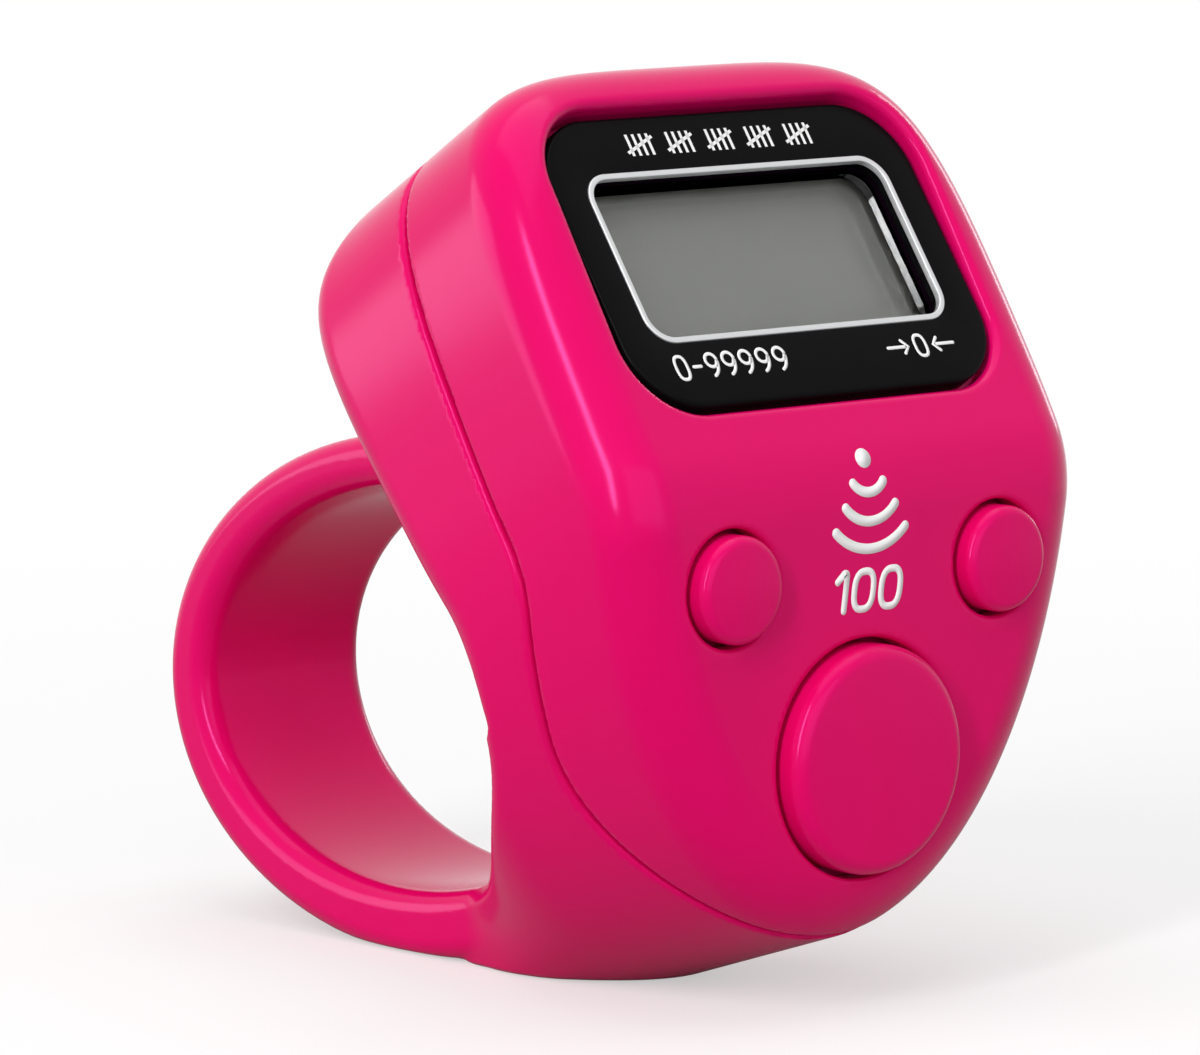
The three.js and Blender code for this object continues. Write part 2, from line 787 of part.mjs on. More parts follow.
function buildFrontShell() {
  const thickFace = inFrame(
    plate(
      roundedRectangle(2 * head.halfWidth, bezel.height + 2 * pocket.margin, pocket.blockCorner),
      -pocketFloorDepth, farAway),
    displayFrame);
  const shell = cutBy(outer, cavity.subtract(thickFace)).intersect(frontSide);
  const bezelPocket = inFrame(plate(
    roundedRectangle(bezel.width + 2 * fitGap, bezel.height + 2 * fitGap, bezel.corner + fitGap),
    -pocketDepth, farAway), displayFrame);
  const paneHole = inFrame(plate(
    roundedRectangle(
      bezel.windowWidth + 2 * (windowPane.margin + windowPane.gap),
      bezel.windowHeight + 2 * (windowPane.margin + windowPane.gap),
      bezel.windowCorner,
      bezel.windowRise),
    -farAway, farAway), displayFrame);
  const bores = buttons.map((button) => toSolid(turned(
    cylinderPairs(button.radius + buttonFit.bore, -farAway, 0), facets.disc,
    button.x, wallInnerY + wallBite, button.z)));
  const boardPosts = [-1, 1].flatMap((side) => [-1, 1].map((end) => {
    const post = turnedOnZ(
      cylinderPairs(boardBoss.radius, fitGap - displayBoard.depth, boardBoss.bite - pocketFloorDepth),
      facets.small, side * boardBoss.x, end * boardBoss.y);
    return inFrame(post, displayFrame);
  }));
  const boardPilots = [-1, 1].flatMap((side) => [-1, 1].map((end) => {
    const pilot = turnedOnZ(
      cylinderPairs(boardBoss.pilot, -boardBack, -pocketFloorDepth - boardBoss.blind), facets.small,
      side * boardBoss.x, end * boardBoss.y);
    return inFrame(pilot, displayFrame);
  }));
  const casePosts = [-1, 1].map((side) => toSolid(turned(
    cylinderPairs(caseScrew.boss, wallInnerY - wallBite, keyBoard.frontY - seatGap), facets.small,
    side * caseScrew.x, 0, caseScrew.z)));
  const casePilots = [-1, 1].map((side) => toSolid(turned(
    cylinderPairs(caseScrew.shank + caseScrew.pilotGap, wallInnerY + caseScrew.blind, 0), facets.small,
    side * caseScrew.x, 0, caseScrew.z)));
  const body = joined(shell, ...boardPosts, ...casePosts);
  return cutBy(body, bezelPocket, paneHole, ...bores, ...boardPilots, ...casePilots);
}

const doorCentre = door.height / 2 + door.aboveRoot;
const doorOutline = (grow) => roundedRectangle(
  door.width + 2 * grow, door.height + 2 * grow, door.corner + grow, doorCentre);
const doorHole = roundedRectangle(
  door.width - 2 * door.ledgeSide, door.height - 2 * door.ledge, door.corner, doorCentre);
const cellCentre = doorCentre;

function buildRearShell() {
  const shell = cutBy(outer, cavity, rearSide);
  const insideLip = headSolid({
    shrink: wall.side + lip.gap + lip.thickness, front: wall.front, rear: wall.rear - wallBite,
  });
  const lipSolid = cutBy(
    headSolid({ shrink: wall.side + lip.gap, front: wall.front, rear: wall.rear })
      .intersect(frontRegion(lip.reach)),
    insideLip,
    frontRegion(-lip.reach),
  );
  const lipRoot = cutBy(
    headSolid({ shrink: wall.side - lip.bite, front: wall.front, rear: wall.rear })
      .intersect(frontRegion(2 * lip.reach)),
    insideLip,
    frontRegion(partingGap),
  );
  const underDoor = headSolid({
    shrink: door.thickness + fitGap, front: door.frontClear, rear: door.thickness + fitGap,
  });
  const doorRecess = inFrame(plate(doorOutline(door.gap), -door.recessReach, door.cutOut), rearFrame)
    .subtract(underDoor);
  const cellOpening = inFrame(plate(doorHole, -door.openingReach, door.cutOut), rearFrame);
  const screwPost = inFrame(turnedOnZ(
    cylinderPairs(doorScrew.post, -doorScrew.postEnd, -doorScrew.postTop), facets.small,
    doorScrew.x, doorCentre), rearFrame);
  const screwPilot = inFrame(turnedOnZ(
    cylinderPairs(doorScrew.shank + doorScrew.pilotGap, -doorScrew.postEnd, door.recessReach), facets.small,
    doorScrew.x, doorCentre), rearFrame);
  const posts = [-1, 1].map((side) => toSolid(turned(
    cylinderPairs(caseScrew.boss, keyBoardBackY + seatGap, rearInnerY + wallBite), facets.small,
    side * caseScrew.x, 0, caseScrew.z)));
  const headSeatY = head.rearWallY - caseScrew.sunk - caseScrew.headHeight - caseScrew.headGap;
  const bores = [-1, 1].flatMap((side) => [
    toSolid(turned(cylinderPairs(caseScrew.shank + fitGap, keyBoard.frontY, 0), facets.small,
      side * caseScrew.x, 0, caseScrew.z)),
    toSolid(turned(cylinderPairs(caseScrew.head + fitGap, headSeatY, 0), facets.small,
      side * caseScrew.x, 0, caseScrew.z)),
  ]);
  const body = joined(shell, lipSolid, lipRoot, screwPost, ...posts);
  return cutBy(body, doorRecess, cellOpening, screwPilot, ...bores);
}

addPiece("front_shell", toGeometry(buildFrontShell()), "pinkPlastic");
addPiece("rear_shell", toGeometry(buildRearShell()), "pinkPlastic");

// Display stack, front to back

const windowOutline = (grow) => roundedRectangle(
  bezel.windowWidth + 2 * grow, bezel.windowHeight + 2 * grow,
  bezel.windowCorner + grow, bezel.windowRise);

function buildDisplay() {
  const seat = trim.width + trim.gap;
  addPiece("display_bezel", toGeometry(cutBy(
    toSolid(plate(roundedRectangle(bezel.width, bezel.height, bezel.corner), -bezel.thickness, 0)),
    toSolid(plate(windowOutline(-trim.width / 2), -farAway, farAway)),
    toSolid(plate(windowOutline(seat), -trim.thickness, farAway)),
  )), "blackPlastic", displayGroup);
  addPiece("window_trim", plate(
    windowOutline(trim.width), trim.gap - trim.thickness, trim.proud, [windowOutline(trim.innerGap)]),
  "silverInk", displayGroup);
  addPiece("display_window", plate(
    windowOutline(windowPane.margin), -pocketDepth - windowPane.thickness, -pocketDepth),
  "clearPlastic", displayGroup);
  addPiece("lcd_front_glass", plate(
    roundedRectangle(glass.width, glassHeight, glass.corner), -glassDepth - glass.thickness, -glassDepth),
  "displayGrey", displayGroup);
  const rearGlassDepth = glassDepth + glass.thickness + restGap;
  addPiece("lcd_rear_glass", plate(
    roundedRectangle(glass.width, glass.innerHeight, glass.corner),
    -rearGlassDepth - glass.thickness, -rearGlassDepth), "displayGrey", displayGroup);
  const reflectorDepth = rearGlassDepth + glass.thickness + restGap;
  addPiece("lcd_reflector", plate(
    roundedRectangle(
      glass.width - 2 * reflector.inset, glass.innerHeight - 2 * reflector.inset, glass.corner),
    -reflectorDepth - reflector.thickness, -reflectorDepth), "steel", displayGroup);
  addPiece("lcd_frame", plate(
    roundedRectangle(frameWidth, frameHeight, glassFrame.corner), fitGap - displayBoard.depth, -glassDepth,
    [roundedRectangle(
      frameWidth - 2 * glassFrame.wall, frameHeight - 2 * glassFrame.wall, glassFrame.innerCorner)]),
  "whitePlastic", displayGroup);
  const zebraY = glass.innerHeight / 2 + glass.ledge / 2 + zebra.inset;
  for (const [name, side] of [["zebra_strip_upper", 1], ["zebra_strip_lower", -1]]) {
    addPiece(name, plate(
      roundedRectangle(zebra.width, zebra.thickness, zebra.corner, side * zebraY),
      restGap - displayBoard.depth, -glassDepth - glass.thickness - restGap), "darkRubber", displayGroup);
  }
  const boardHeight = displayBoard.top - displayBoard.bottom;
  const boardMiddle = (displayBoard.top + displayBoard.bottom) / 2;
  const boardShape = roundedRectangle(
    2 * displayBoard.halfWidth, boardHeight, displayBoard.corner, boardMiddle);
  const screwHoles = [-1, 1].flatMap((side) => [-1, 1].map((end) => {
    const hole = new THREE.Path();
    const radius = boardScrew.shank + boardScrew.holeGap;
    hole.absarc(side * boardBoss.x, end * boardBoss.y, radius, 0, 2 * Math.PI, true);
    return hole;
  }));
  addPiece("display_board", plate(
    boardShape, -boardBack, -displayBoard.depth, screwHoles), "boardGreen", displayGroup);
  let number = 1;
  for (const side of [-1, 1]) {
    for (const end of [-1, 1]) {
      const shankEnd = pocketFloorDepth + boardBoss.blind + boardScrew.tipGap;
      addPiece(`display_board_screw_${number}`, turnedInto([
        [0, shankEnd],
        [boardScrew.shank, shankEnd],
        [boardScrew.shank, boardBack + restGap],
        [boardScrew.head, boardBack + restGap],
        [boardScrew.head * boardScrew.topShare, boardBack + restGap + boardScrew.headHeight],
        [0, boardBack + restGap + boardScrew.headHeight],
      ], facets.small, side * boardBoss.x, end * boardBoss.y), "steel", displayGroup);
      number += 1;
    }
  }
  const onBoard = boardBack + restGap;
  const blob = Array.from({ length: chipBlob.steps }, (_, i) => {
    const angle = (i / chipBlob.steps) * (Math.PI / 2);
    return [chipBlob.radius * Math.cos(angle), onBoard + chipBlob.height * Math.sin(angle)];
  });
  addPiece("chip_blob", turnedInto(
    [[0, onBoard], ...blob, [0, onBoard + chipBlob.height]], facets.small,
    displayBoard.halfWidth - chipBlob.edgeIn, chipBlob.y),
    "resinBlack", displayGroup);
  const can = turned(cylinderPairs(crystal.radius, -crystal.length / 2, crystal.length / 2), facets.small);
  can.translate(crystal.edgeIn - displayBoard.halfWidth, crystal.y, -onBoard - crystal.radius);
  addPiece("crystal_can", can, "steel", displayGroup);
  for (const count of [0, 1]) {
    const body = new THREE.BoxGeometry(capacitor.length, capacitor.width, capacitor.height);
    body.translate(
      displayBoard.halfWidth - capacitor.edgeIn,
      capacitor.firstY + count * capacitor.pitch,
      -onBoard - capacitor.height / 2);
    addPiece(`capacitor_${count + 1}`, body, "ceramic", displayGroup);
  }
}
buildDisplay();

// Key board, buttons and switches

function buildKeyBoard() {
  const middleY = keyBoard.frontY + keyBoard.thickness / 2;
  const side = Array.from({ length: keyBoard.rows }, (_, i) => {
    const z = THREE.MathUtils.lerp(keyBoard.bottom, keyBoard.top, i / (keyBoard.rows - 1));
    return { x: halfWidthAt(rowThrough(middleY, z)) - wall.side - lip.thickness - keyBoard.margin, z };
  });
  const shape = new THREE.Shape();
  side.forEach(({ x, z }, i) => (i === 0 ? shape.moveTo(x, z) : shape.lineTo(x, z)));
  side.toReversed().forEach(({ x, z }) => shape.lineTo(-x, z));
  const geometry = new THREE.ExtrudeGeometry(shape, {
    depth: keyBoard.thickness, bevelEnabled: false, curveSegments: facets.corner,
  });
  geometry.rotateX(Math.PI / 2);
  geometry.translate(0, keyBoardBackY, 0);
  const screwHoles = [-1, 1].map((end) => toSolid(turned(
    cylinderPairs(caseScrew.shank + seatGap, keyBoard.frontY - seatGap, keyBoardBackY + seatGap),
    facets.small, end * caseScrew.x, 0, caseScrew.z)));
  addPiece("key_board", toGeometry(cutBy(toSolid(geometry), ...screwHoles)), "boardGreen");
}
buildKeyBoard();

const switchFrontY = keyBoard.frontY - tactSwitch.baseHeight - tactSwitch.coverThickness;
const plungerFrontY = switchFrontY - tactSwitch.plungerProud;

function buttonGeometry(button) {
  const flangeFront = wallInnerY + buttonFit.behindWall;
  const flangeBack = flangeFront + buttonFit.flange;
  const faceY = head.keyFaceY - button.proud;
  const edge = Array.from({ length: buttonFit.steps + 1 }, (_, i) => {
    const angle = (i / buttonFit.steps) * (Math.PI / 2);
    return [
      button.radius - button.edge * (1 - Math.sin(angle)),
      faceY + button.edge * (1 - Math.cos(angle)),
    ];
  });
  return turned([
    [0, faceY - buttonFit.dome],
    ...edge,
    [button.radius, flangeFront],
    [button.radius + buttonFit.flangeRim, flangeFront],
    [button.radius + buttonFit.flangeRim, flangeBack],
    [tactSwitch.stemRadius, flangeBack],
    [tactSwitch.stemRadius, plungerFrontY - tactSwitch.stemGap],
    [0, plungerFrontY - tactSwitch.stemGap],
  ], facets.disc, button.x, 0, button.z);
}

function buildButton(button) {
  addPiece(`${button.name}_button`, buttonGeometry(button), "pinkPlastic");
  const size = tactSwitch.size;
  const baseMiddle = keyBoard.frontY - tactSwitch.baseHeight / 2;
  const bore = toSolid(turned(
    cylinderPairs(tactSwitch.plungerRadius + tactSwitch.plungerGap, -farAway,
      keyBoard.frontY - tactSwitch.baseHeight + tactSwitch.boreDepth),
    facets.small, button.x, 0, button.z));
  const base = boxSolid(size, tactSwitch.baseHeight, size, { x: button.x, y: baseMiddle, z: button.z });
  addPiece(`${button.name}_switch_base`, toGeometry(cutBy(base, bore)), "resinBlack");
  const cover = boxSolid(size, tactSwitch.coverThickness, size, {
    x: button.x, y: keyBoard.frontY - tactSwitch.baseHeight - tactSwitch.coverThickness / 2, z: button.z,
  });
  addPiece(`${button.name}_switch_cover`, toGeometry(cutBy(cover, bore)), "steel");
  const innerEnd = keyBoard.frontY - tactSwitch.baseHeight + tactSwitch.boreDepth - buttonFit.travel
    - tactSwitch.innerGap;
  addPiece(`${button.name}_switch_plunger`, turned(
    cylinderPairs(tactSwitch.plungerRadius, plungerFrontY, innerEnd), facets.small, button.x, 0, button.z),
  "resinBlack");
}
buttons.forEach(buildButton);

// Ribbon between the boards

function buildRibbon() {
  const boardEnd = new THREE.Vector3(0, displayBoard.bottom + ribbon.rise, -boardBack - ribbon.lift)
    .applyMatrix4(displayFrame);
  const path = new THREE.CatmullRomCurve3([
    boardEnd,
    new THREE.Vector3(0, boardEnd.y + ribbon.swing, boardEnd.z - ribbon.drop),
    new THREE.Vector3(0, keyBoardBackY + ribbon.swing, keyBoard.top - ribbon.landing / 2),
    new THREE.Vector3(0, keyBoardBackY + ribbon.lift, keyBoard.top - ribbon.landing),
  ]);
  const [halfThick, halfWide] = [ribbon.thickness / 2, ribbon.width / 2];
  const points = path.getPoints(ribbon.steps);
  const rings = points.map((point, i) => {
    const before = points[Math.max(i - 1, 0)];
    const after = points[Math.min(i + 1, points.length - 1)];
    const along = after.clone().sub(before).normalize();
    const across = new THREE.Vector3(0, -along.z, along.y).multiplyScalar(halfThick);
    return [
      new THREE.Vector3(-halfWide, point.y + across.y, point.z + across.z),
      new THREE.Vector3(halfWide, point.y + across.y, point.z + across.z),
      new THREE.Vector3(halfWide, point.y - across.y, point.z - across.z),
      new THREE.Vector3(-halfWide, point.y - across.y, point.z - across.z),
    ];
  });
  addPiece("board_ribbon", skin(rings, fanCap(4)), "whitePlastic");
}
buildRibbon();

// Screws that join the shells

function slottedScrew(headRadius, headHeight, shankRadius, length) {
  const body = toSolid(turned([
    [0, -length],
    [shankRadius, -length],
    [shankRadius, -headHeight],
    [headRadius, -headHeight],
    [headRadius, -headHeight * screwSlot.chamferStart],
    [headRadius * screwSlot.top, 0],
    [0, 0],
  ], facets.small));
  const arm = {
    long: headRadius * screwSlot.long,
    wide: headRadius * screwSlot.wide,
    deep: headHeight * screwSlot.deep,
  };
  const recess = joined(
    boxSolid(arm.long, 2 * arm.deep, arm.wide, { x: 0, y: 0, z: 0 }),
    boxSolid(arm.wide, 2 * arm.deep, arm.long, { x: 0, y: 0, z: 0 }),
  );
  return toGeometry(body.subtract(recess));
}

for (const [name, side] of [["case_screw_left", -1], ["case_screw_right", 1]]) {
  const screwFace = head.rearWallY - caseScrew.sunk;
  const screwTip = wallInnerY + caseScrew.blind + caseScrew.tipGap;
  const screw = slottedScrew(caseScrew.head, caseScrew.headHeight, caseScrew.shank, screwFace - screwTip);
  screw.translate(side * caseScrew.x, screwFace, caseScrew.z);
  addPiece(name, screw, "steel");
}

// Battery compartment

function buildBattery() {
  const cellInnerFace = cell.depth + cell.height;
  addPiece("battery_cell", turnedInto([
    [0, cell.depth],
    [cell.radius - cell.edge, cell.depth],
    [cell.radius, cell.depth + cell.edge],
    [cell.radius, cellInnerFace - 2 * cell.edge],
    [cell.radius - 2 * cell.edge, cellInnerFace - cell.edge],
    [cell.radius - 2 * cell.edge, cellInnerFace],
    [0, cellInnerFace],
  ], facets.disc, 0, cellCentre), "steel", rearGroup);
  const cupTop = holder.wallStart;
  const cupFloor = cellInnerFace + holder.springRoom;
  const innerRadius = cell.radius + cell.canGap;
  const cup = inFrame(turnedInto([
    [0, cupFloor],
    [innerRadius, cupFloor],
    [innerRadius, cupTop],
    [innerRadius + holder.wall, cupTop],
    [innerRadius + holder.wall, cupFloor + holder.floor],
    [0, cupFloor + holder.floor],
  ], facets.disc, 0, cellCentre), rearFrame);
  const room = headSolid({
    shrink: wall.side + lip.gap + lip.thickness + seatGap, front: wall.front, rear: wall.rear + seatGap,
  });
  const toRear = rearFrame.clone().invert();
  addPiece("battery_holder", toGeometry(cup.intersect(room)).applyMatrix4(toRear), "whitePlastic", rearGroup);
  const contactLength = 2 * cell.radius - contact.shorter;
  const spring = new THREE.BoxGeometry(contact.width, contactLength, contact.thickness);
  spring.translate(0, cellCentre, -cellInnerFace - holder.springRoom / 2);
  addPiece("contact_spring", spring, "steel", rearGroup);
  const topPlate = new THREE.BoxGeometry(contact.width, contactLength, contact.thickness);
  topPlate.translate(0, cellCentre, contact.topGap - cell.depth);
  addPiece("contact_top", topPlate, "steel", rearGroup);
  const overDoor = outer.subtract(
    headSolid({ shrink: door.thickness, front: door.frontClear, rear: door.thickness }));
  const cover = overDoor.intersect(inFrame(plate(doorOutline(0), -door.recessReach, door.cutOut), rearFrame));
  const sinkDepth = doorScrew.sunk + doorScrew.headHeight + doorScrew.sinkGap;
  const screwHole = inFrame(turnedOnZ(
    cylinderPairs(doorScrew.shank + doorScrew.gap, -door.recessReach, farAway), facets.small,
    doorScrew.x, doorCentre), rearFrame);
  const screwSink = inFrame(turnedOnZ(
    cylinderPairs(doorScrew.head + doorScrew.gap, -sinkDepth, farAway), facets.small,
    doorScrew.x, doorCentre), rearFrame);
  const holeSide = door.width / 2 - door.ledgeSide;
  const tabDepth = wall.rear + doorTab.gap + doorTab.thickness;
  const stemBox = new THREE.BoxGeometry(doorTab.stem, doorTab.width, tabDepth - doorTab.stemTop);
  stemBox.translate(doorTab.stemIn - holeSide, doorCentre, -(doorTab.stemTop + tabDepth) / 2);
  const tongue = new THREE.BoxGeometry(doorTab.reach, doorTab.width, doorTab.thickness);
  tongue.translate(
    doorTab.rootIn - holeSide - doorTab.reach / 2, doorCentre, doorTab.thickness / 2 - tabDepth);
  const doorSolid = joined(
    cutBy(cover, screwHole, screwSink), inFrame(stemBox, rearFrame), inFrame(tongue, rearFrame));
  addPiece("battery_door", toGeometry(doorSolid).applyMatrix4(toRear), "pinkPlastic", rearGroup);
  const doorScrewBody = slottedScrew(doorScrew.head, doorScrew.headHeight, doorScrew.shank, doorScrew.length);
  doorScrewBody.rotateX(Math.PI / 2);
  doorScrewBody.translate(doorScrew.x, doorCentre, -doorScrew.sunk);
  addPiece("battery_door_screw", doorScrewBody, "steel", rearGroup);
}
buildBattery();

// Buzzer

function buildBuzzer() {
  const backY = rearInnerY - buzzer.wallGap;
  addPiece("buzzer_disc", turned(
    cylinderPairs(buzzer.radius, backY - buzzer.thickness, backY), facets.disc, 0, 0, buzzer.z), "brass");
  const ceramicBack = backY - buzzer.thickness - buzzer.gap;
  addPiece("buzzer_ceramic", turned(
    cylinderPairs(buzzer.ceramicRadius, ceramicBack - buzzer.ceramicThickness, ceramicBack),
    facets.disc, 0, 0, buzzer.z), "ceramic");
  const boardSide = keyBoardBackY + lead.gap;
  const ceramicFront = ceramicBack - buzzer.ceramicThickness - lead.gap;
  addPiece("buzzer_lead_red", turned(
    cylinderPairs(lead.radius, boardSide, ceramicFront), lead.segments, lead.spread, 0, buzzer.z), "redLead");
  addPiece("buzzer_lead_black", turned(
    cylinderPairs(lead.radius, boardSide, backY - buzzer.thickness - lead.gap), lead.segments,
    -(buzzer.ceramicRadius + buzzer.radius) / 2, 0, buzzer.z), "blackLead");
}
buildBuzzer();

export default counter;
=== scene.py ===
"""Looks of the finger tally counter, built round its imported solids.

Sizes are in millimetres while a shape is worked out, and in metres once it is a mesh.
"""

import logging
import math
from dataclasses import dataclass
from enum import Enum
from typing import Callable, Sequence

import bpy
import numpy as np
from mathutils import Matrix, Vector


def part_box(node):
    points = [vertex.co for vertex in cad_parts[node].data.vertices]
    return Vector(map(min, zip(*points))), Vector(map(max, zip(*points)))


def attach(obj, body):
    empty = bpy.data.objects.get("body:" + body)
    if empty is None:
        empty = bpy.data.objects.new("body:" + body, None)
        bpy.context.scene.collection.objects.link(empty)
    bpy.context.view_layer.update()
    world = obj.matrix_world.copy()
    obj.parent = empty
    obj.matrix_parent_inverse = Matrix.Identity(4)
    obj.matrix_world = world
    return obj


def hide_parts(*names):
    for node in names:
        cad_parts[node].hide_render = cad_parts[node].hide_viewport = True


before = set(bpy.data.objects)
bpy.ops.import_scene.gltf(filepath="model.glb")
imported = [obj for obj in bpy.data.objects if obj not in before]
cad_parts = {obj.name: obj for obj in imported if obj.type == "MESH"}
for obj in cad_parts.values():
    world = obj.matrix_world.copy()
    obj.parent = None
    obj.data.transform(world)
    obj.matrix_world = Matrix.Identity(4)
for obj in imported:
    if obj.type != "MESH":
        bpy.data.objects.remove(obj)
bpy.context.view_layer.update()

Array = np.ndarray
Field = Callable[[Array, Array, Array], Array]
Point = tuple[float, float, float]
FlatPoint = tuple[float, float]
Line = tuple[list[FlatPoint], bool]

MM = 0.001
QUARTER = math.pi / 2.0
TINY = 1e-6
BODY = "case"
log = logging.getLogger("tally_counter")


# Field arithmetic: a field is negative inside a solid


def smoothstep(value: Array, low: float, high: float) -> Array:
    """Smooth rise from 0 at low to 1 at high.

    Args:
        value: Numbers to map.
        low: Where the rise starts.
        high: Where the rise ends.

    Returns:
        The mapped numbers.
    """
    share = np.clip((value - low) / (high - low), 0.0, 1.0)
    return share * share * (3.0 - 2.0 * share)


def round_max(first: Array, second: Array, radius: Array | float) -> Array:
    """What two fields share, with a rounded outer edge between them.

    Args:
        first: A field.
        second: Another field.
        radius: Radius of the edge.

    Returns:
        The shared field.
    """
    over_first = np.maximum(first + radius, 0.0)
    over_second = np.maximum(second + radius, 0.0)
    inner = np.minimum(np.maximum(first, second) + radius, 0.0)
    return inner + np.hypot(over_first, over_second) - radius


def smooth_min(first: Array, second: Array, reach: Array | float) -> Array:
    """Union of two fields with a fillet between them.

    Args:
        first: A field.
        second: Another field.
        reach: How far from the joint the fillet reaches.

    Returns:
        The joined field.
    """
    overlap = np.maximum(reach - np.abs(first - second), 0.0) / reach
    return np.minimum(first, second) - overlap * overlap * reach / 4.0


def rounded_box(across: Array, up: Array, width: float, height: float, corner: float) -> Array:
    """Flat distance to a rounded rectangle centred on the origin.

    Args:
        across: First coordinate.
        up: Second coordinate.
        width: Full width.
        height: Full height.
        corner: Corner radius.

    Returns:
        Distance, negative inside.
    """
    side = np.abs(across) - width / 2.0 + corner
    end = np.abs(up) - height / 2.0 + corner
    outside = np.hypot(np.maximum(side, 0.0), np.maximum(end, 0.0))
    return outside + np.minimum(np.maximum(side, end), 0.0) - corner


@dataclass(frozen=True)
class LeaningFrame:
    """A frame that leans about X: across is X, up runs up the face, out leaves it."""

    lean: float
    y: float
    z: float
    faces_back: bool = False

    def local(self, y: Array, z: Array) -> tuple[Array, Array]:
        """Side-view coordinates in this frame.

        Args:
            y: Depth in the counter's frame.
            z: Height in the counter's frame.

        Returns:
            Distance up the face, and out of it.
        """
        run, rise = y - self.y, z - self.z
        up = run * math.sin(self.lean) + rise * math.cos(self.lean)
        out = rise * math.sin(self.lean) - run * math.cos(self.lean)
        return up, -out if self.faces_back else out

    def matrix(self) -> Matrix:
        """Placement of local millimetres as metres in the counter's frame.

        Returns:
            The placement.
        """
        sign = -1.0 if self.faces_back else 1.0
        sine, cosine = math.sin(self.lean), math.cos(self.lean)
        return Matrix((
            (sign * MM, 0.0, 0.0, 0.0),
            (0.0, sine * MM, -sign * cosine * MM, self.y * MM),
            (0.0, cosine * MM, sign * sine * MM, self.z * MM),
            (0.0, 0.0, 0.0, 1.0),
        ))


@dataclass(frozen=True)
class Measured:
    """Where points lie on the head."""

    row: Array
    depth: Array
    rear: Array
    outline: Array
    up: Array


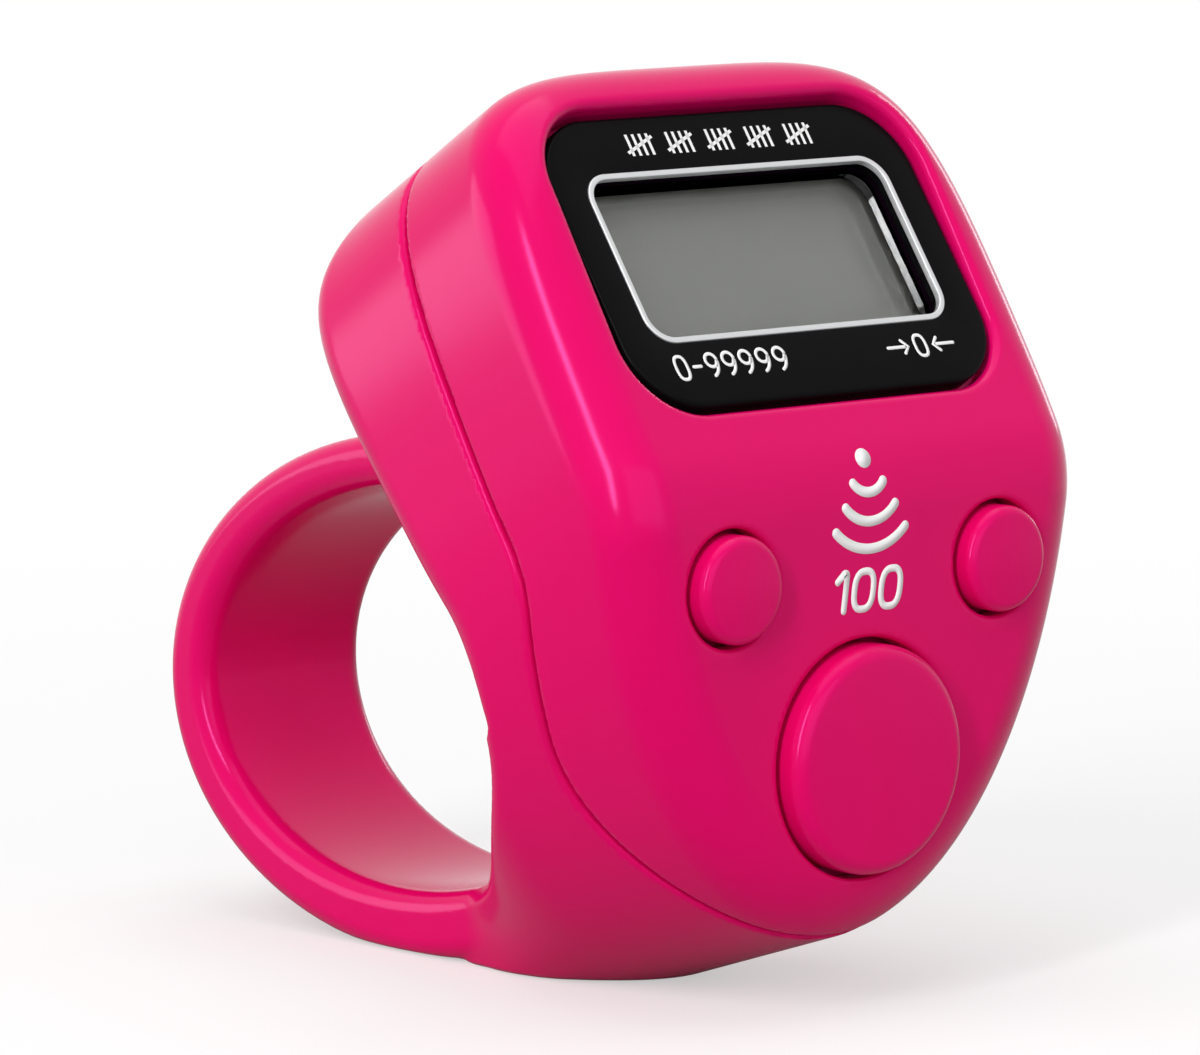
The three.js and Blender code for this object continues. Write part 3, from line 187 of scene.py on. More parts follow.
@dataclass(frozen=True)
class HeadForm:
    """The head: an upright key face, a display face that leans back, and an egg-shaped chin."""

    key_face_y: float = -16.8
    chin_z: float = 4.2
    bend_z: float = 25.3
    bend_radius: float = 7.0
    lean: float = math.radians(32.0)
    face_length: float = 22.6
    depth: float = 16.4
    depth_row: float = 33.0
    rear_lean: float = math.radians(40.0)
    rear_wall_y: float = -4.5
    rear_blend: float = 1.5
    chin_slope: float = math.radians(17.8)
    slope_rows: float = 27.0
    half_width: float = 15.05
    widest_row: float = 26.0
    chin_power: float = 2.05
    top_power: float = 4.6
    top_narrowing: float = 0.6
    front_round: float = 3.0
    rear_side_round: float = 2.0
    rear_top_round: float = 5.6
    least_round: float = 0.3
    passes: int = 8
    least_slope: float = 0.2

    @property
    def bend_tangent(self) -> float:
        """Length of the bend's tangent."""
        return self.bend_radius * math.tan(self.lean / 2.0)

    @property
    def upright_rows(self) -> float:
        """Row at which the key face starts to bend."""
        return self.bend_z - self.chin_z - self.bend_tangent

    @property
    def top_row(self) -> float:
        """Row of the head's top."""
        return self.upright_rows + self.bend_radius * self.lean + self.face_length - self.bend_tangent

    def front_point(self, row: Array) -> tuple[Array, Array, Array]:
        """Side view of the front surface.

        Args:
            row: Length up the front from the chin.

        Returns:
            Y, Z and how far the surface leans back there.
        """
        turn = np.clip((row - self.upright_rows) / self.bend_radius, 0.0, self.lean)
        straight = np.minimum(row, self.upright_rows)
        run = np.maximum(row - self.upright_rows - self.bend_radius * self.lean, 0.0)
        y = self.key_face_y + self.bend_radius * (1.0 - np.cos(turn)) + run * math.sin(self.lean)
        z = self.chin_z + straight + self.bend_radius * np.sin(turn) + run * math.cos(self.lean)
        return y, z, turn

    def fall(self, row: Array) -> tuple[Array, Array]:
        """How far a depth line falls as it runs back.

        Args:
            row: Length up the front from the chin.

        Returns:
            The angle and how fast it grows with the row.
        """
        share = np.clip(row / self.slope_rows, 0.0, 1.0)
        angle = self.chin_slope + (self.lean - self.chin_slope) * share * share * (3.0 - 2.0 * share)
        growth = (self.lean - self.chin_slope) * 6.0 * share * (1.0 - share) / self.slope_rows
        return angle, growth

    def row_and_depth(self, y: Array, z: Array) -> tuple[Array, Array]:
        """Row whose depth line passes through a point of the side view, and the depth on it.

        Args:
            y: Depth in the counter's frame.
            z: Height in the counter's frame.

        Returns:
            Row and depth.
        """
        row = z - self.chin_z + (y - self.key_face_y) * math.tan(self.chin_slope)
        for _ in range(self.passes):
            front_y, front_z, turn = self.front_point(row)
            angle, growth = self.fall(row)
            miss = (z - front_z) * np.cos(angle) + (y - front_y) * np.sin(angle)
            depth = (y - front_y) * np.cos(angle) - (z - front_z) * np.sin(angle)
            slope = np.minimum(depth * growth - np.cos(angle - turn), -self.least_slope)
            row = row - miss / slope
        front_y, front_z, _ = self.front_point(row)
        angle, _ = self.fall(row)
        return row, (y - front_y) * np.cos(angle) - (z - front_z) * np.sin(angle)

    def place(self, row: float, depth: float) -> tuple[float, float]:
        """Side view of a row and depth.

        Args:
            row: Length up the front from the chin.
            depth: Depth behind the front.

        Returns:
            Y and Z.
        """
        front_y, front_z, _ = self.front_point(np.array(row))
        angle, _ = self.fall(np.array(row))
        return float(front_y + depth * np.cos(angle)), float(front_z - depth * np.sin(angle))

    def rear_depth(self, row: Array, wall_y: Array | float) -> Array:
        """Depth of the rear wall behind a row.

        Args:
            row: Length up the front from the chin.
            wall_y: Where the upright part of the rear wall stands.

        Returns:
            The depth.
        """
        middle_y, middle_z = self.place(self.depth_row, self.depth)
        front_y, front_z, _ = self.front_point(row)
        angle, _ = self.fall(row)
        run, drop = middle_y - front_y, middle_z - front_z
        across = run * math.cos(self.rear_lean) - drop * math.sin(self.rear_lean)
        upright = (wall_y - front_y) / np.cos(angle)
        leaning = across / np.cos(self.rear_lean - angle)
        return -smooth_min(-upright, -leaning, self.rear_blend)

    def half_width_at(self, row: Array) -> Array:
        """Half width of the outline at a row.

        Args:
            row: Length up the front from the chin.

        Returns:
            The half width.
        """
        drop = np.clip(1.0 - row / self.widest_row, 0.0, 1.0)
        rise = np.clip((row - self.widest_row) / (self.top_row - self.widest_row), 0.0, 1.0)
        low = self.half_width * np.sqrt(1.0 - drop**self.chin_power)
        straight = self.half_width - self.top_narrowing * rise**2
        high = straight * (1.0 - rise**self.top_power) ** (1.0 / self.top_power)
        return np.where(row < self.widest_row, low, high)

    def outline(self, x: Array, row: Array, stretch: Array | float) -> tuple[Array, Array]:
        """Distance to the outline, seen from the front, and how far its normal points up.

        Args:
            x: Distance across.
            row: Length up the front from the chin.
            stretch: How much narrower the outline is here than the plain one.

        Returns:
            Distance, negative inside, and the upward share of its normal.
        """
        wide = np.abs(x) * stretch
        drop = np.maximum(1.0 - row / self.widest_row, 0.0)
        low = np.sqrt((wide / self.half_width) ** 2 + drop**self.chin_power) + TINY
        low_x = wide / self.half_width**2 / low * stretch
        low_row = -0.5 * self.chin_power * drop ** (self.chin_power - 1.0) / self.widest_row / low
        high_rows = self.top_row - self.widest_row
        rise = np.maximum((row - self.widest_row) / high_rows, 0.0)
        straight = self.half_width - self.top_narrowing * np.minimum(rise, 1.0) ** 2
        share = wide / straight
        power = self.top_power
        total = share**power + rise**power + TINY
        high = total ** (1.0 / power)
        scale = total ** (1.0 / power - 1.0)
        high_x = scale * share ** (power - 1.0) / straight * stretch
        high_row = scale * rise ** (power - 1.0) / high_rows
        is_low = row < self.widest_row
        value = np.where(is_low, low, high)
        along_x = np.where(is_low, low_x, high_x)
        along_row = np.where(is_low, low_row, high_row)
        steep = np.maximum(np.hypot(along_x, along_row), TINY)
        return (value - 1.0) / steep, along_row / steep

    def solid(self, at: Measured, shrink: float = 0.0, front: float = 0.0, rear: float = 0.0) -> Array:
        """Field of the head, or of a space inside it.

        Args:
            at: Where the points lie on the head.
            shrink: How far the outline moves in.
            front: How far the front moves in.
            rear: How far the rear moves in.

        Returns:
            The field.
        """
        rear_round = self.rear_side_round
        rear_round = rear_round + (self.rear_top_round - rear_round) * np.maximum(at.up, 0.0) ** 2
        rear_round = np.maximum(rear_round - shrink, self.least_round)
        front_round = max(self.front_round - shrink, self.least_round)
        outline = at.outline + shrink
        front_part = round_max(outline, front - at.depth, front_round)
        rear_part = round_max(outline, at.depth - at.rear + rear, rear_round)
        return np.maximum(front_part, rear_part)


@dataclass(frozen=True)
class Oval:
    """A tilted oval in the side view."""

    y: float
    z: float
    long: float
    high: float
    pitch: float

    def distance(self, y: Array, z: Array) -> Array:
        """Distance to the oval in the side view, negative inside.

        Args:
            y: Depth in the counter's frame.
            z: Height in the counter's frame.

        Returns:
            The distance.
        """
        run, rise = y - self.y, z - self.z
        along = run * math.cos(self.pitch) + rise * math.sin(self.pitch)
        up = rise * math.cos(self.pitch) - run * math.sin(self.pitch)
        value = np.hypot(along / self.long, up / self.high) + TINY
        steep = np.hypot(along / self.long**2, up / self.high**2) / value + TINY
        return (value - 1.0) / steep


@dataclass(frozen=True)
class RingForm:
    """The finger ring and how the head narrows into it."""

    half_width: float = 5.3
    rim_round: float = 1.1
    outer: Oval = Oval(9.8, 12.5, 18.385, 12.7, math.radians(-3.0))
    hole: Oval = Oval(10.1, 12.9, 15.1, 9.8, math.radians(-5.0))
    root_reach_y: float = 7.5
    root_half_width: float = 4.6
    taper_start_y: float = -5.0
    taper_end_y: float = 7.5
    taper_low_row: float = 8.0
    taper_high_row: float = 16.0
    root_low_row: float = 11.0
    root_high_row: float = 15.0
    fillet: float = 2.4
    least_fillet: float = 0.15
    fade_start_y: float = -3.0
    fade_end_y: float = 7.0


@dataclass(frozen=True)
class Walls:
    """Wall thicknesses, gaps and edge rounds of the mouldings."""

    front: float = 1.6
    rear: float = 2.0
    side: float = 1.6
    parting_gap: float = 0.2
    seat_gap: float = 0.3
    fit_gap: float = 0.25
    chin_depth: float = 2.4
    side_depth: float = 8.3
    blend_rows: float = 13.0
    parting_round: float = 0.28
    floor_round: float = 0.3
    lip_gap: float = 0.2
    lip_thickness: float = 0.6
    lip_reach: float = 0.9
    lip_bite: float = 0.3


@dataclass(frozen=True)
class Bezel:
    """The display bezel and its window, in the display frame."""

    y: float = -10.2
    z: float = 35.1
    lean: float = math.radians(35.0)
    width: float = 22.8
    height: float = 15.3
    corner: float = 3.6
    thickness: float = 0.9
    edge: float = 0.22
    window_width: float = 18.4
    window_height: float = 8.4
    window_corner: float = 1.2
    window_rise: float = 0.2
    pocket_floor: float = 1.0
    pocket_margin: float = 1.2
    pocket_round: float = 0.5
    pane_room: float = 0.45

    @property
    def frame(self) -> LeaningFrame:
        """The leaning frame of the bezel's face."""
        return LeaningFrame(self.lean, self.y, self.z)


@dataclass(frozen=True)
class Key:
    """A press button."""

    name: str
    x: float
    z: float
    radius: float
    proud: float
    edge: float


KEYS = (
    Key("count", 0.0, 12.1, 5.35, 1.1, 0.75),
    Key("reset", 8.4, 20.7, 2.5, 0.8, 0.5),
    Key("mode", -8.4, 20.7, 2.5, 0.8, 0.5),
)


@dataclass(frozen=True)
class Door:
    """The battery door, in the frame of the leaning rear wall."""

    width: float = 15.5
    height: float = 9.8
    corner: float = 1.6
    thickness: float = 1.1
    gap: float = 0.2
    ledge: float = 0.8
    ledge_side: float = 3.0
    above_root: float = 0.3
    cut_out: float = 0.4
    recess_reach: float = 3.0
    opening_reach: float = 4.0
    edge: float = 0.25
    front_clear: float = 0.5
    screw_x: float = 6.1
    screw_head: float = 1.05
    screw_hole: float = 0.6
    screw_sink: float = 0.55
    post: float = 1.1
    post_top: float = 1.6
    post_end: float = 3.4
    tab_width: float = 3.0
    tab_reach: float = 1.6
    tab_thickness: float = 0.6
    tab_stem: float = 0.8

    @property
    def centre(self) -> float:
        """Height of the door's middle above the ring's root."""
        return self.height / 2.0 + self.above_root


@dataclass(frozen=True)
class CaseScrews:
    """The two screws that join the shells, seen through the finger hole."""

    x: float = 8.1
    z: float = 15.2
    head: float = 1.6
    head_height: float = 1.0
    shank: float = 0.7
    boss: float = 1.9
    sunk: float = 0.1
    head_gap: float = 0.2


@dataclass(frozen=True)
class CounterForm:
    """The mouldings as fields of one set of sizes."""

    head: HeadForm = HeadForm()
    ring: RingForm = RingForm()
    walls: Walls = Walls()
    bezel: Bezel = Bezel()
    door: Door = Door()
    screws: CaseScrews = CaseScrews()
    bore_gap: float = 0.25
    bore_round: float = 0.3
    key_board_front_y: float = -10.9
    key_board_back_y: float = -9.9
    board_boss_x: float = 11.5
    board_boss_up: float = 3.2
    board_boss_radius: float = 0.85
    board_boss_end: float = 5.35

    @property
    def rear_frame(self) -> LeaningFrame:
        """Frame on the leaning rear wall, above the ring's root.

        Returns:
            The frame.
        """
        middle_y, middle_z = self.head.place(self.head.depth_row, self.head.depth)
        root_z = self.ring.outer.z + self.ring.outer.high
        root_y = middle_y - (middle_z - root_z) * math.tan(self.head.rear_lean)
        return LeaningFrame(self.head.rear_lean, root_y, root_z, faces_back=True)

    def measure(self, x: Array, y: Array, z: Array, root: bool) -> Measured:
        """Where points lie on the head.

        Args:
            x: Distance across.
            y: Depth in the counter's frame.
            z: Height in the counter's frame.
            root: Whether the low rows run on and narrow into the ring.

        Returns:
            The measures.
        """
        ring = self.ring
        row, depth = self.head.row_and_depth(y, z)
        wall_y: Array | float = self.head.rear_wall_y
        stretch: Array | float = 1.0
        if root:
            blend = smoothstep(row, ring.root_low_row, ring.root_high_row)
            wall_y = ring.root_reach_y + (self.head.rear_wall_y - ring.root_reach_y) * blend
            half_width = self.head.half_width_at(row)
            back = smoothstep(y, ring.taper_start_y, ring.taper_end_y)
            low = 1.0 - smoothstep(row, ring.taper_low_row, ring.taper_high_row)
            narrow = half_width + (ring.root_half_width - half_width) * back * low
            stretch = np.where(half_width > ring.root_half_width, half_width / np.maximum(narrow, 1.0), 1.0)
        outline, up = self.head.outline(x, row, stretch)
        return Measured(row, depth, self.head.rear_depth(row, wall_y), outline, up)

    def outer(self, x: Array, y: Array, z: Array) -> Array:
        """Field of the whole closed outside: head, root and ring, cut by the finger hole and the flat.

        Args:
            x: Distance across.
            y: Depth in the counter's frame.
            z: Height in the counter's frame.

        Returns:
            The field.
        """
        ring = self.ring
        head = self.head.solid(self.measure(x, y, z, root=True))
        disc = round_max(ring.outer.distance(y, z), np.abs(x) - ring.half_width, ring.rim_round)
        fade = smoothstep(y, ring.fade_start_y, ring.fade_end_y)
        body = smooth_min(head, disc, ring.fillet + (ring.least_fillet - ring.fillet) * fade)
        body = round_max(body, -ring.hole.distance(y, z), ring.rim_round)
        return round_max(body, -z, self.walls.floor_round)

    def parting(self, at: Measured) -> Array:
        """Distance behind the parting surface between the shells.

        Args:
            at: Where the points lie on the head.

        Returns:
            The distance.
        """
        walls = self.walls
        reach = np.sin(QUARTER * np.clip(at.row / walls.blend_rows, 0.0, 1.0))
        return at.depth - (walls.chin_depth + (walls.side_depth - walls.chin_depth) * reach)

    def cavity(self, at: Measured, shrink: float) -> Array:
        """Field of the space inside the walls, with the outline moved in by shrink."""
        return self.head.solid(at, shrink, self.walls.front, self.walls.rear)

    def front_shell(self, x: Array, y: Array, z: Array) -> Array:
        """Field of the front shell.

        Args:
            x: Distance across.
            y: Depth in the counter's frame.
            z: Height in the counter's frame.

        Returns:
            The field.
        """
        bezel, walls, screws = self.bezel, self.walls, self.screws
        up, out = bezel.frame.local(y, z)
        pocket_depth = bezel.thickness + walls.fit_gap
        floor_depth = pocket_depth + bezel.pocket_floor
        plain = self.measure(x, y, z, root=False)
        block = np.maximum(np.abs(up) - bezel.height / 2.0 - bezel.pocket_margin, -(out + floor_depth))
        cavity = np.maximum(self.cavity(plain, walls.side), -block)
        outside = self.outer(x, y, z)
        pocket = rounded_box(
            x, up, bezel.width + 2.0 * walls.fit_gap, bezel.height + 2.0 * walls.fit_gap,
            bezel.corner + walls.fit_gap)
        body = round_max(outside, np.minimum(-pocket, out + pocket_depth), bezel.pocket_round)
        body = np.maximum(body, -cavity)
        inner_y = self.head.key_face_y + walls.front
        for side in (-1.0, 1.0):
            post = np.maximum(
                np.hypot(x - side * screws.x, z - screws.z) - screws.boss,
                np.maximum(inner_y - walls.fit_gap - y, y - self.key_board_front_y + walls.seat_gap))
            body = np.minimum(body, post)
            for end in (-1.0, 1.0):
                boss = np.hypot(x - side * self.board_boss_x, up - end * self.board_boss_up)
                ends = np.maximum(out + floor_depth - walls.fit_gap, -self.board_boss_end - out)
                body = np.minimum(body, np.maximum(boss - self.board_boss_radius, ends))
        body = round_max(body, self.parting(plain) + walls.parting_gap / 2.0, walls.parting_round)
        pane = rounded_box(
            x, up - bezel.window_rise, bezel.window_width + 2.0 * bezel.pane_room,
            bezel.window_height + 2.0 * bezel.pane_room, bezel.window_corner)
        body = np.maximum(body, -pane)
        for key in KEYS:
            bore = np.hypot(x - key.x, z - key.z) - key.radius - self.bore_gap
            body = round_max(body, -bore, self.bore_round)
        return body

    def rear_shell(self, x: Array, y: Array, z: Array) -> Array:
        """Field of the rear shell with the finger ring.

        Args:
            x: Distance across.
            y: Depth in the counter's frame.
            z: Height in the counter's frame.

        Returns:
            The field.
        """
        walls, door, screws = self.walls, self.door, self.screws
        plain = self.measure(x, y, z, root=False)
        parting = self.parting(plain)
        inside_lip = self.cavity(plain, walls.side + walls.lip_gap + walls.lip_thickness)
        body = np.maximum(self.outer(x, y, z), -self.cavity(plain, walls.side))
        body = round_max(body, walls.parting_gap / 2.0 - parting, walls.parting_round)
        lip = np.maximum(self.cavity(plain, walls.side + walls.lip_gap), np.abs(parting) - walls.lip_reach)
        root = np.maximum(
            self.cavity(plain, walls.side - walls.lip_bite),
            np.maximum(parting - 2.0 * walls.lip_reach, walls.parting_gap - parting))
        body = np.minimum(body, np.maximum(np.minimum(lip, root), -inside_lip))
        inner_y = self.head.rear_wall_y - walls.rear
        seat_y = self.head.rear_wall_y - screws.sunk - screws.head_height - screws.head_gap
        for side in (-1.0, 1.0):
            radial = np.hypot(x - side * screws.x, z - screws.z)
            post = np.maximum(self.key_board_back_y + walls.seat_gap - y, y - inner_y - walls.fit_gap)
            body = np.minimum(body, np.maximum(radial - screws.boss, post))
            bore = np.maximum(radial - screws.shank - walls.fit_gap, y - inner_y - walls.rear)
            body = np.maximum(body, -bore)
            seat = np.maximum(radial - screws.head - walls.fit_gap, seat_y - y)
            body = round_max(body, -seat, self.walls.parting_round)
        up, out = self.rear_frame.local(y, z)
        up = up - door.centre
        post = np.maximum(
            np.hypot(x + door.screw_x, up) - door.post, np.maximum(out + door.post_top, -door.post_end - out))
        body = np.minimum(body, post)
        outline = rounded_box(
            x, up, door.width + 2.0 * door.gap, door.height + 2.0 * door.gap, door.corner + door.gap)
        under = self.head.solid(
            plain, door.thickness + walls.fit_gap, door.front_clear, door.thickness + walls.fit_gap)
        recess = -np.maximum(outline, np.maximum(-door.recess_reach - out, out - door.cut_out))
        body = round_max(body, np.minimum(recess, under), door.edge)
        opening = rounded_box(
            x, up, door.width - 2.0 * door.ledge_side, door.height - 2.0 * door.ledge, door.corner)
        opening = np.maximum(opening, np.maximum(-door.opening_reach - out, out - door.cut_out))
        body = np.maximum(body, -opening)
        pilot = np.maximum(np.hypot(x + door.screw_x, up) - door.screw_hole, -door.post_end - out)
        return np.maximum(body, -np.maximum(pilot, out - door.recess_reach))

    def battery_door(self, x: Array, y: Array, z: Array) -> Array:
        """Field of the battery door.

        Args:
            x: Distance across.
            y: Depth in the counter's frame.
            z: Height in the counter's frame.

        Returns:
            The field.
        """
        door, walls = self.door, self.walls
        plain = self.measure(x, y, z, root=False)
        up, out = self.rear_frame.local(y, z)
        up = up - door.centre
        outline = rounded_box(x, up, door.width, door.height, door.corner)
        outline = np.maximum(outline, -door.recess_reach - out)
        outside = np.maximum(self.outer(x, y, z), out - door.cut_out)
        cover = round_max(outside, outline, door.edge)
        cover = np.maximum(cover, -self.head.solid(plain, door.thickness, door.front_clear, door.thickness))
        stem_x = door.width / 2.0 - door.ledge_side - door.tab_stem
        tab_depth = walls.rear + door.gap + door.tab_thickness
        level = np.abs(up) - door.tab_width / 2.0
        stem = np.maximum(np.abs(x - stem_x) - door.tab_stem / 2.0, np.maximum(level, out + door.tab_stem))
        stem = np.maximum(stem, -out - tab_depth)
        tongue = np.maximum(np.abs(x - stem_x - door.tab_reach / 2.0) - door.tab_reach / 2.0, level)
        tongue = np.maximum(tongue, np.maximum(out + walls.rear + door.gap, -out - tab_depth))
        body = np.minimum(cover, np.minimum(stem, tongue))
        radial = np.hypot(x + door.screw_x, up)
        body = np.maximum(body, door.screw_hole - radial)
        sink = np.maximum(radial - door.screw_head, -door.screw_sink - out)
        return round_max(body, -sink, door.edge / 2.0)


# Meshes


def new_object(name: str, vertices: Array, faces: Sequence[Sequence[int]] | Array) -> bpy.types.Object:
    """A mesh object at the origin, from millimetres.

    Args:
        name: Name of the piece.
        vertices: Places in millimetres.
        faces: Corner numbers of each face.

    Returns:
        The object.
    """
    mesh = bpy.data.meshes.new(name)
    places = np.asarray(vertices, float) * MM
    corners = faces.tolist() if isinstance(faces, np.ndarray) else faces
    mesh.from_pydata(places.tolist(), [], corners)
    mesh.validate()
    mesh.polygons.foreach_set("use_smooth", [True] * len(mesh.polygons))
    piece = bpy.data.objects.new(name, mesh)
    bpy.context.scene.collection.objects.link(piece)
    return piece


@dataclass(frozen=True)
class SurfaceNet:
    """Turns a field into a smooth closed mesh."""

    step: float
    settle_passes: int = 3
    least_slope: float = 0.05
    probe: float = 0.02
    padding: int = 2

    def build(self, name: str, field: Field, low: Sequence[float], high: Sequence[float]) -> bpy.types.Object:
        """Mesh of a field's zero surface.

        Args:
            name: Name of the piece.
            field: The field.
            low: Lowest corner of the space that holds it, in millimetres.
            high: Highest corner of that space.

        Returns:
            The object, with the field's own normals.
        """
        start = np.array(low) - self.padding * self.step
        counts = np.ceil((np.array(high) - start) / self.step).astype(int) + self.padding + 1
        axes = [start[axis] + self.step * np.arange(counts[axis]) for axis in range(3)]
        values = field(axes[0][:, None, None], axes[1][None, :, None], axes[2][None, None, :])
        values = np.broadcast_to(values, tuple(counts))
        points, faces = self.net(values)
        points = self.settle(field, start + points * self.step)
        piece = new_object(name, points, faces)
        normals = self.gradient(field, points)
        normals /= np.linalg.norm(normals, axis=1)[:, None]
        piece.data.normals_split_custom_set_from_vertices(normals.tolist())
        log.info("%s has %d faces", name, len(faces))
        return piece

    def net(self, values: Array) -> tuple[Array, Array]:
        """One point in each crossed cell, and a square face round each crossed edge.

        Args:
            values: The field on the grid.

        Returns:
            Points in grid units, and faces.
        """
        inside = values < 0.0
        corners = [(i, j, k) for i in (0, 1) for j in (0, 1) for k in (0, 1)]
        shape = tuple(size - 1 for size in values.shape)
        total = np.zeros(shape, np.int8)
        for i, j, k in corners:
            total += inside[i:i + shape[0], j:j + shape[1], k:k + shape[2]]
        cells = np.argwhere((total > 0) & (total < len(corners)))
        sums = np.zeros((len(cells), 3))
        crossings = np.zeros(len(cells))
        for first in corners:
            for axis in range(3):
                if first[axis]:
                    continue
                second = np.array(first)
                second[axis] = 1
                start = values[tuple((cells + np.array(first)).T)]
                end = values[tuple((cells + second).T)]
                crossed = (start < 0.0) != (end < 0.0)
                share = np.where(crossed, start / np.where(crossed, start - end, 1.0), 0.0)
                place = np.array(first, float)[None, :] + share[:, None] * (second - np.array(first))[None, :]
                sums += np.where(crossed[:, None], place, 0.0)
                crossings += crossed
        points = cells + sums / crossings[:, None]
        numbers = np.full(shape, -1, np.int64)
        numbers[tuple(cells.T)] = np.arange(len(cells))
        return points, self.faces(inside, numbers)

    def faces(self, inside: Array, numbers: Array) -> Array:
        """Square faces between the cells round each crossed edge.

        Args:
            inside: Whether each grid point is inside.
            numbers: Point number of each cell.

        Returns:
            The faces, pointing outwards.
        """
        quads = []
        for axis in range(3):
            second, third = (axis + 1) % 3, (axis + 2) % 3
            low = np.take(inside, range(inside.shape[axis] - 1), axis)
            high = np.take(inside, range(1, inside.shape[axis]), axis)
            for flip, crossed in ((False, low & ~high), (True, ~low & high)):
                places = np.argwhere(crossed)
                ring = []
                for along_second, along_third in ((-1, -1), (0, -1), (0, 0), (-1, 0)):
                    cell = places.copy()
                    cell[:, second] += along_second
                    cell[:, third] += along_third
                    ring.append(numbers[tuple(cell.T)])
                quads.append(np.stack(ring[::-1] if flip else ring, axis=1))
        return np.concatenate(quads)

    def gradient(self, field: Field, points: Array) -> Array:
        """Slope of the field at points.

        Args:
            field: The field.
            points: Where to measure, in millimetres.

        Returns:
            The slopes.
        """
        columns = []
        for axis in range(3):
            ahead, behind = points.copy(), points.copy()
            ahead[:, axis] += self.probe
            behind[:, axis] -= self.probe
            columns.append((field(*ahead.T) - field(*behind.T)) / (2.0 * self.probe))
        return np.stack(columns, axis=1)

    def settle(self, field: Field, points: Array) -> Array:
        """Moves points onto the zero surface.

        Args:
            field: The field.
            points: Rough places, in millimetres.

        Returns:
            The settled places.
        """
        for _ in range(self.settle_passes):
            slope = self.gradient(field, points)
            steep = np.maximum((slope**2).sum(axis=1), self.least_slope)
            move = slope * (field(*points.T) / steep)[:, None]
            length = np.linalg.norm(move, axis=1)
            limit = self.step / 2.0
            points = points - move * np.minimum(1.0, limit / np.maximum(length, TINY))[:, None]
        return points


def rounded_outline(width: float, height: float, corner: float, steps: int) -> list[FlatPoint]:
    """Points round a rounded rectangle, the same number whatever its size.

    Args:
        width: Full width.
        height: Full height.
        corner: Corner radius.
        steps: Steps round each corner.

    Returns:
        The points, counter-clockwise.
    """
    points = []
    for quarter, (side, end) in enumerate(((1, 1), (-1, 1), (-1, -1), (1, -1))):
        centre = (side * (width / 2.0 - corner), end * (height / 2.0 - corner))
        for step in range(steps + 1):
            angle = QUARTER * (quarter + step / steps)
            points.append((centre[0] + corner * math.cos(angle), centre[1] + corner * math.sin(angle)))
    return points


def lofted(name: str, rings: Sequence[Sequence[Point]], closed: bool) -> bpy.types.Object:
    """A skin through rings of points.

    Args:
        name: Name of the piece.
        rings: Rings with the same number of points, in millimetres.
        closed: Whether the last ring joins the first, instead of each end being filled.

    Returns:
        The object.
    """
    count = len(rings[0])
    vertices = [point for ring in rings for point in ring]
    faces: list[list[int]] = []
    for number in range(len(rings) - (0 if closed else 1)):
        here, there = number * count, (number + 1) % len(rings) * count
        for i in range(count):
            after = (i + 1) % count
            faces.append([here + i, here + after, there + after, there + i])
    if not closed:
        faces.append(list(range(count))[::-1])
        faces.append(list(range((len(rings) - 1) * count, len(rings) * count)))
    return new_object(name, vertices, faces)


def point_outwards(piece: bpy.types.Object) -> None:
    """Turns the faces of a closed piece outwards.

    Args:
        piece: The piece.
    """
    mesh = piece.data
    mesh.calc_loop_triangles()
    places = np.zeros(len(mesh.vertices) * 3)
    mesh.vertices.foreach_get("co", places)
    places = places.reshape(-1, 3)
    corners = np.zeros(len(mesh.loop_triangles) * 3, np.int64)
    mesh.loop_triangles.foreach_get("vertices", corners)
    first, second, third = (places[corners.reshape(-1, 3)[:, i]] for i in range(3))
    if np.einsum("ij,ij->i", first, np.cross(second, third)).sum() < 0.0:
        mesh.flip_normals()


def sharpen(piece: bpy.types.Object, angle: float) -> None:
    """Shades a piece smoothly except over edges sharper than an angle.

    Args:
        piece: The piece.
        angle: The angle, in radians.
    """
    piece.data.set_sharp_from_angle(angle=angle)


class Wiring:
    """A node tree that is built step by step."""

    def __init__(self, tree: bpy.types.NodeTree) -> None:
        """Takes the tree to build in."""
        self.tree = tree

    def feed(self, node: bpy.types.Node, links: dict[str, object]) -> None:
        """Fills the inputs of a node.

        Args:
            node: The node.
            links: What each input gets, by its name or number: an output socket or a plain value.
        """
        for name, source in links.items():
            socket = node.inputs[int(name)] if name.isdigit() else node.inputs[name]
            if isinstance(source, bpy.types.NodeSocket):
                self.tree.links.new(source, socket)
            else:
                socket.default_value = source

    def add(self, kind: str, links: dict[str, object] | None = None, **settings: object) -> bpy.types.Node:
        """Adds a node.

        Args:
            kind: The node's type.
            links: What each input gets, as feed takes it.
            settings: Attributes of the node.

        Returns:
            The node.
        """
        node = self.tree.nodes.new(kind)
        for name, setting in settings.items():
            setattr(node, name, setting)
        self.feed(node, links or {})
        return node

    def maths(self, operation: str, *values: bpy.types.NodeSocket | float) -> bpy.types.NodeSocket:
        """Adds a maths node.

        Args:
            operation: What it works out.
            values: Its inputs in order.

        Returns:
            Its output.
        """
        links = {str(number): value for number, value in enumerate(values)}
        return self.add("ShaderNodeMath", links, operation=operation).outputs[0]

    def vector(self, operation: str, **links: object) -> bpy.types.NodeSocket:
        """Adds a vector maths node.

        Args:
            operation: What it works out.
            links: Its inputs first, second and scale, as far as it needs them.

        Returns:
            Its output, a number where the operation gives one.
        """
        places = {"first": "0", "second": "1", "scale": "Scale"}
        inputs = {places[name]: source for name, source in links.items()}
        node = self.add("ShaderNodeVectorMath", inputs, operation=operation)
        return node.outputs["Value" if operation == "LENGTH" else 0]


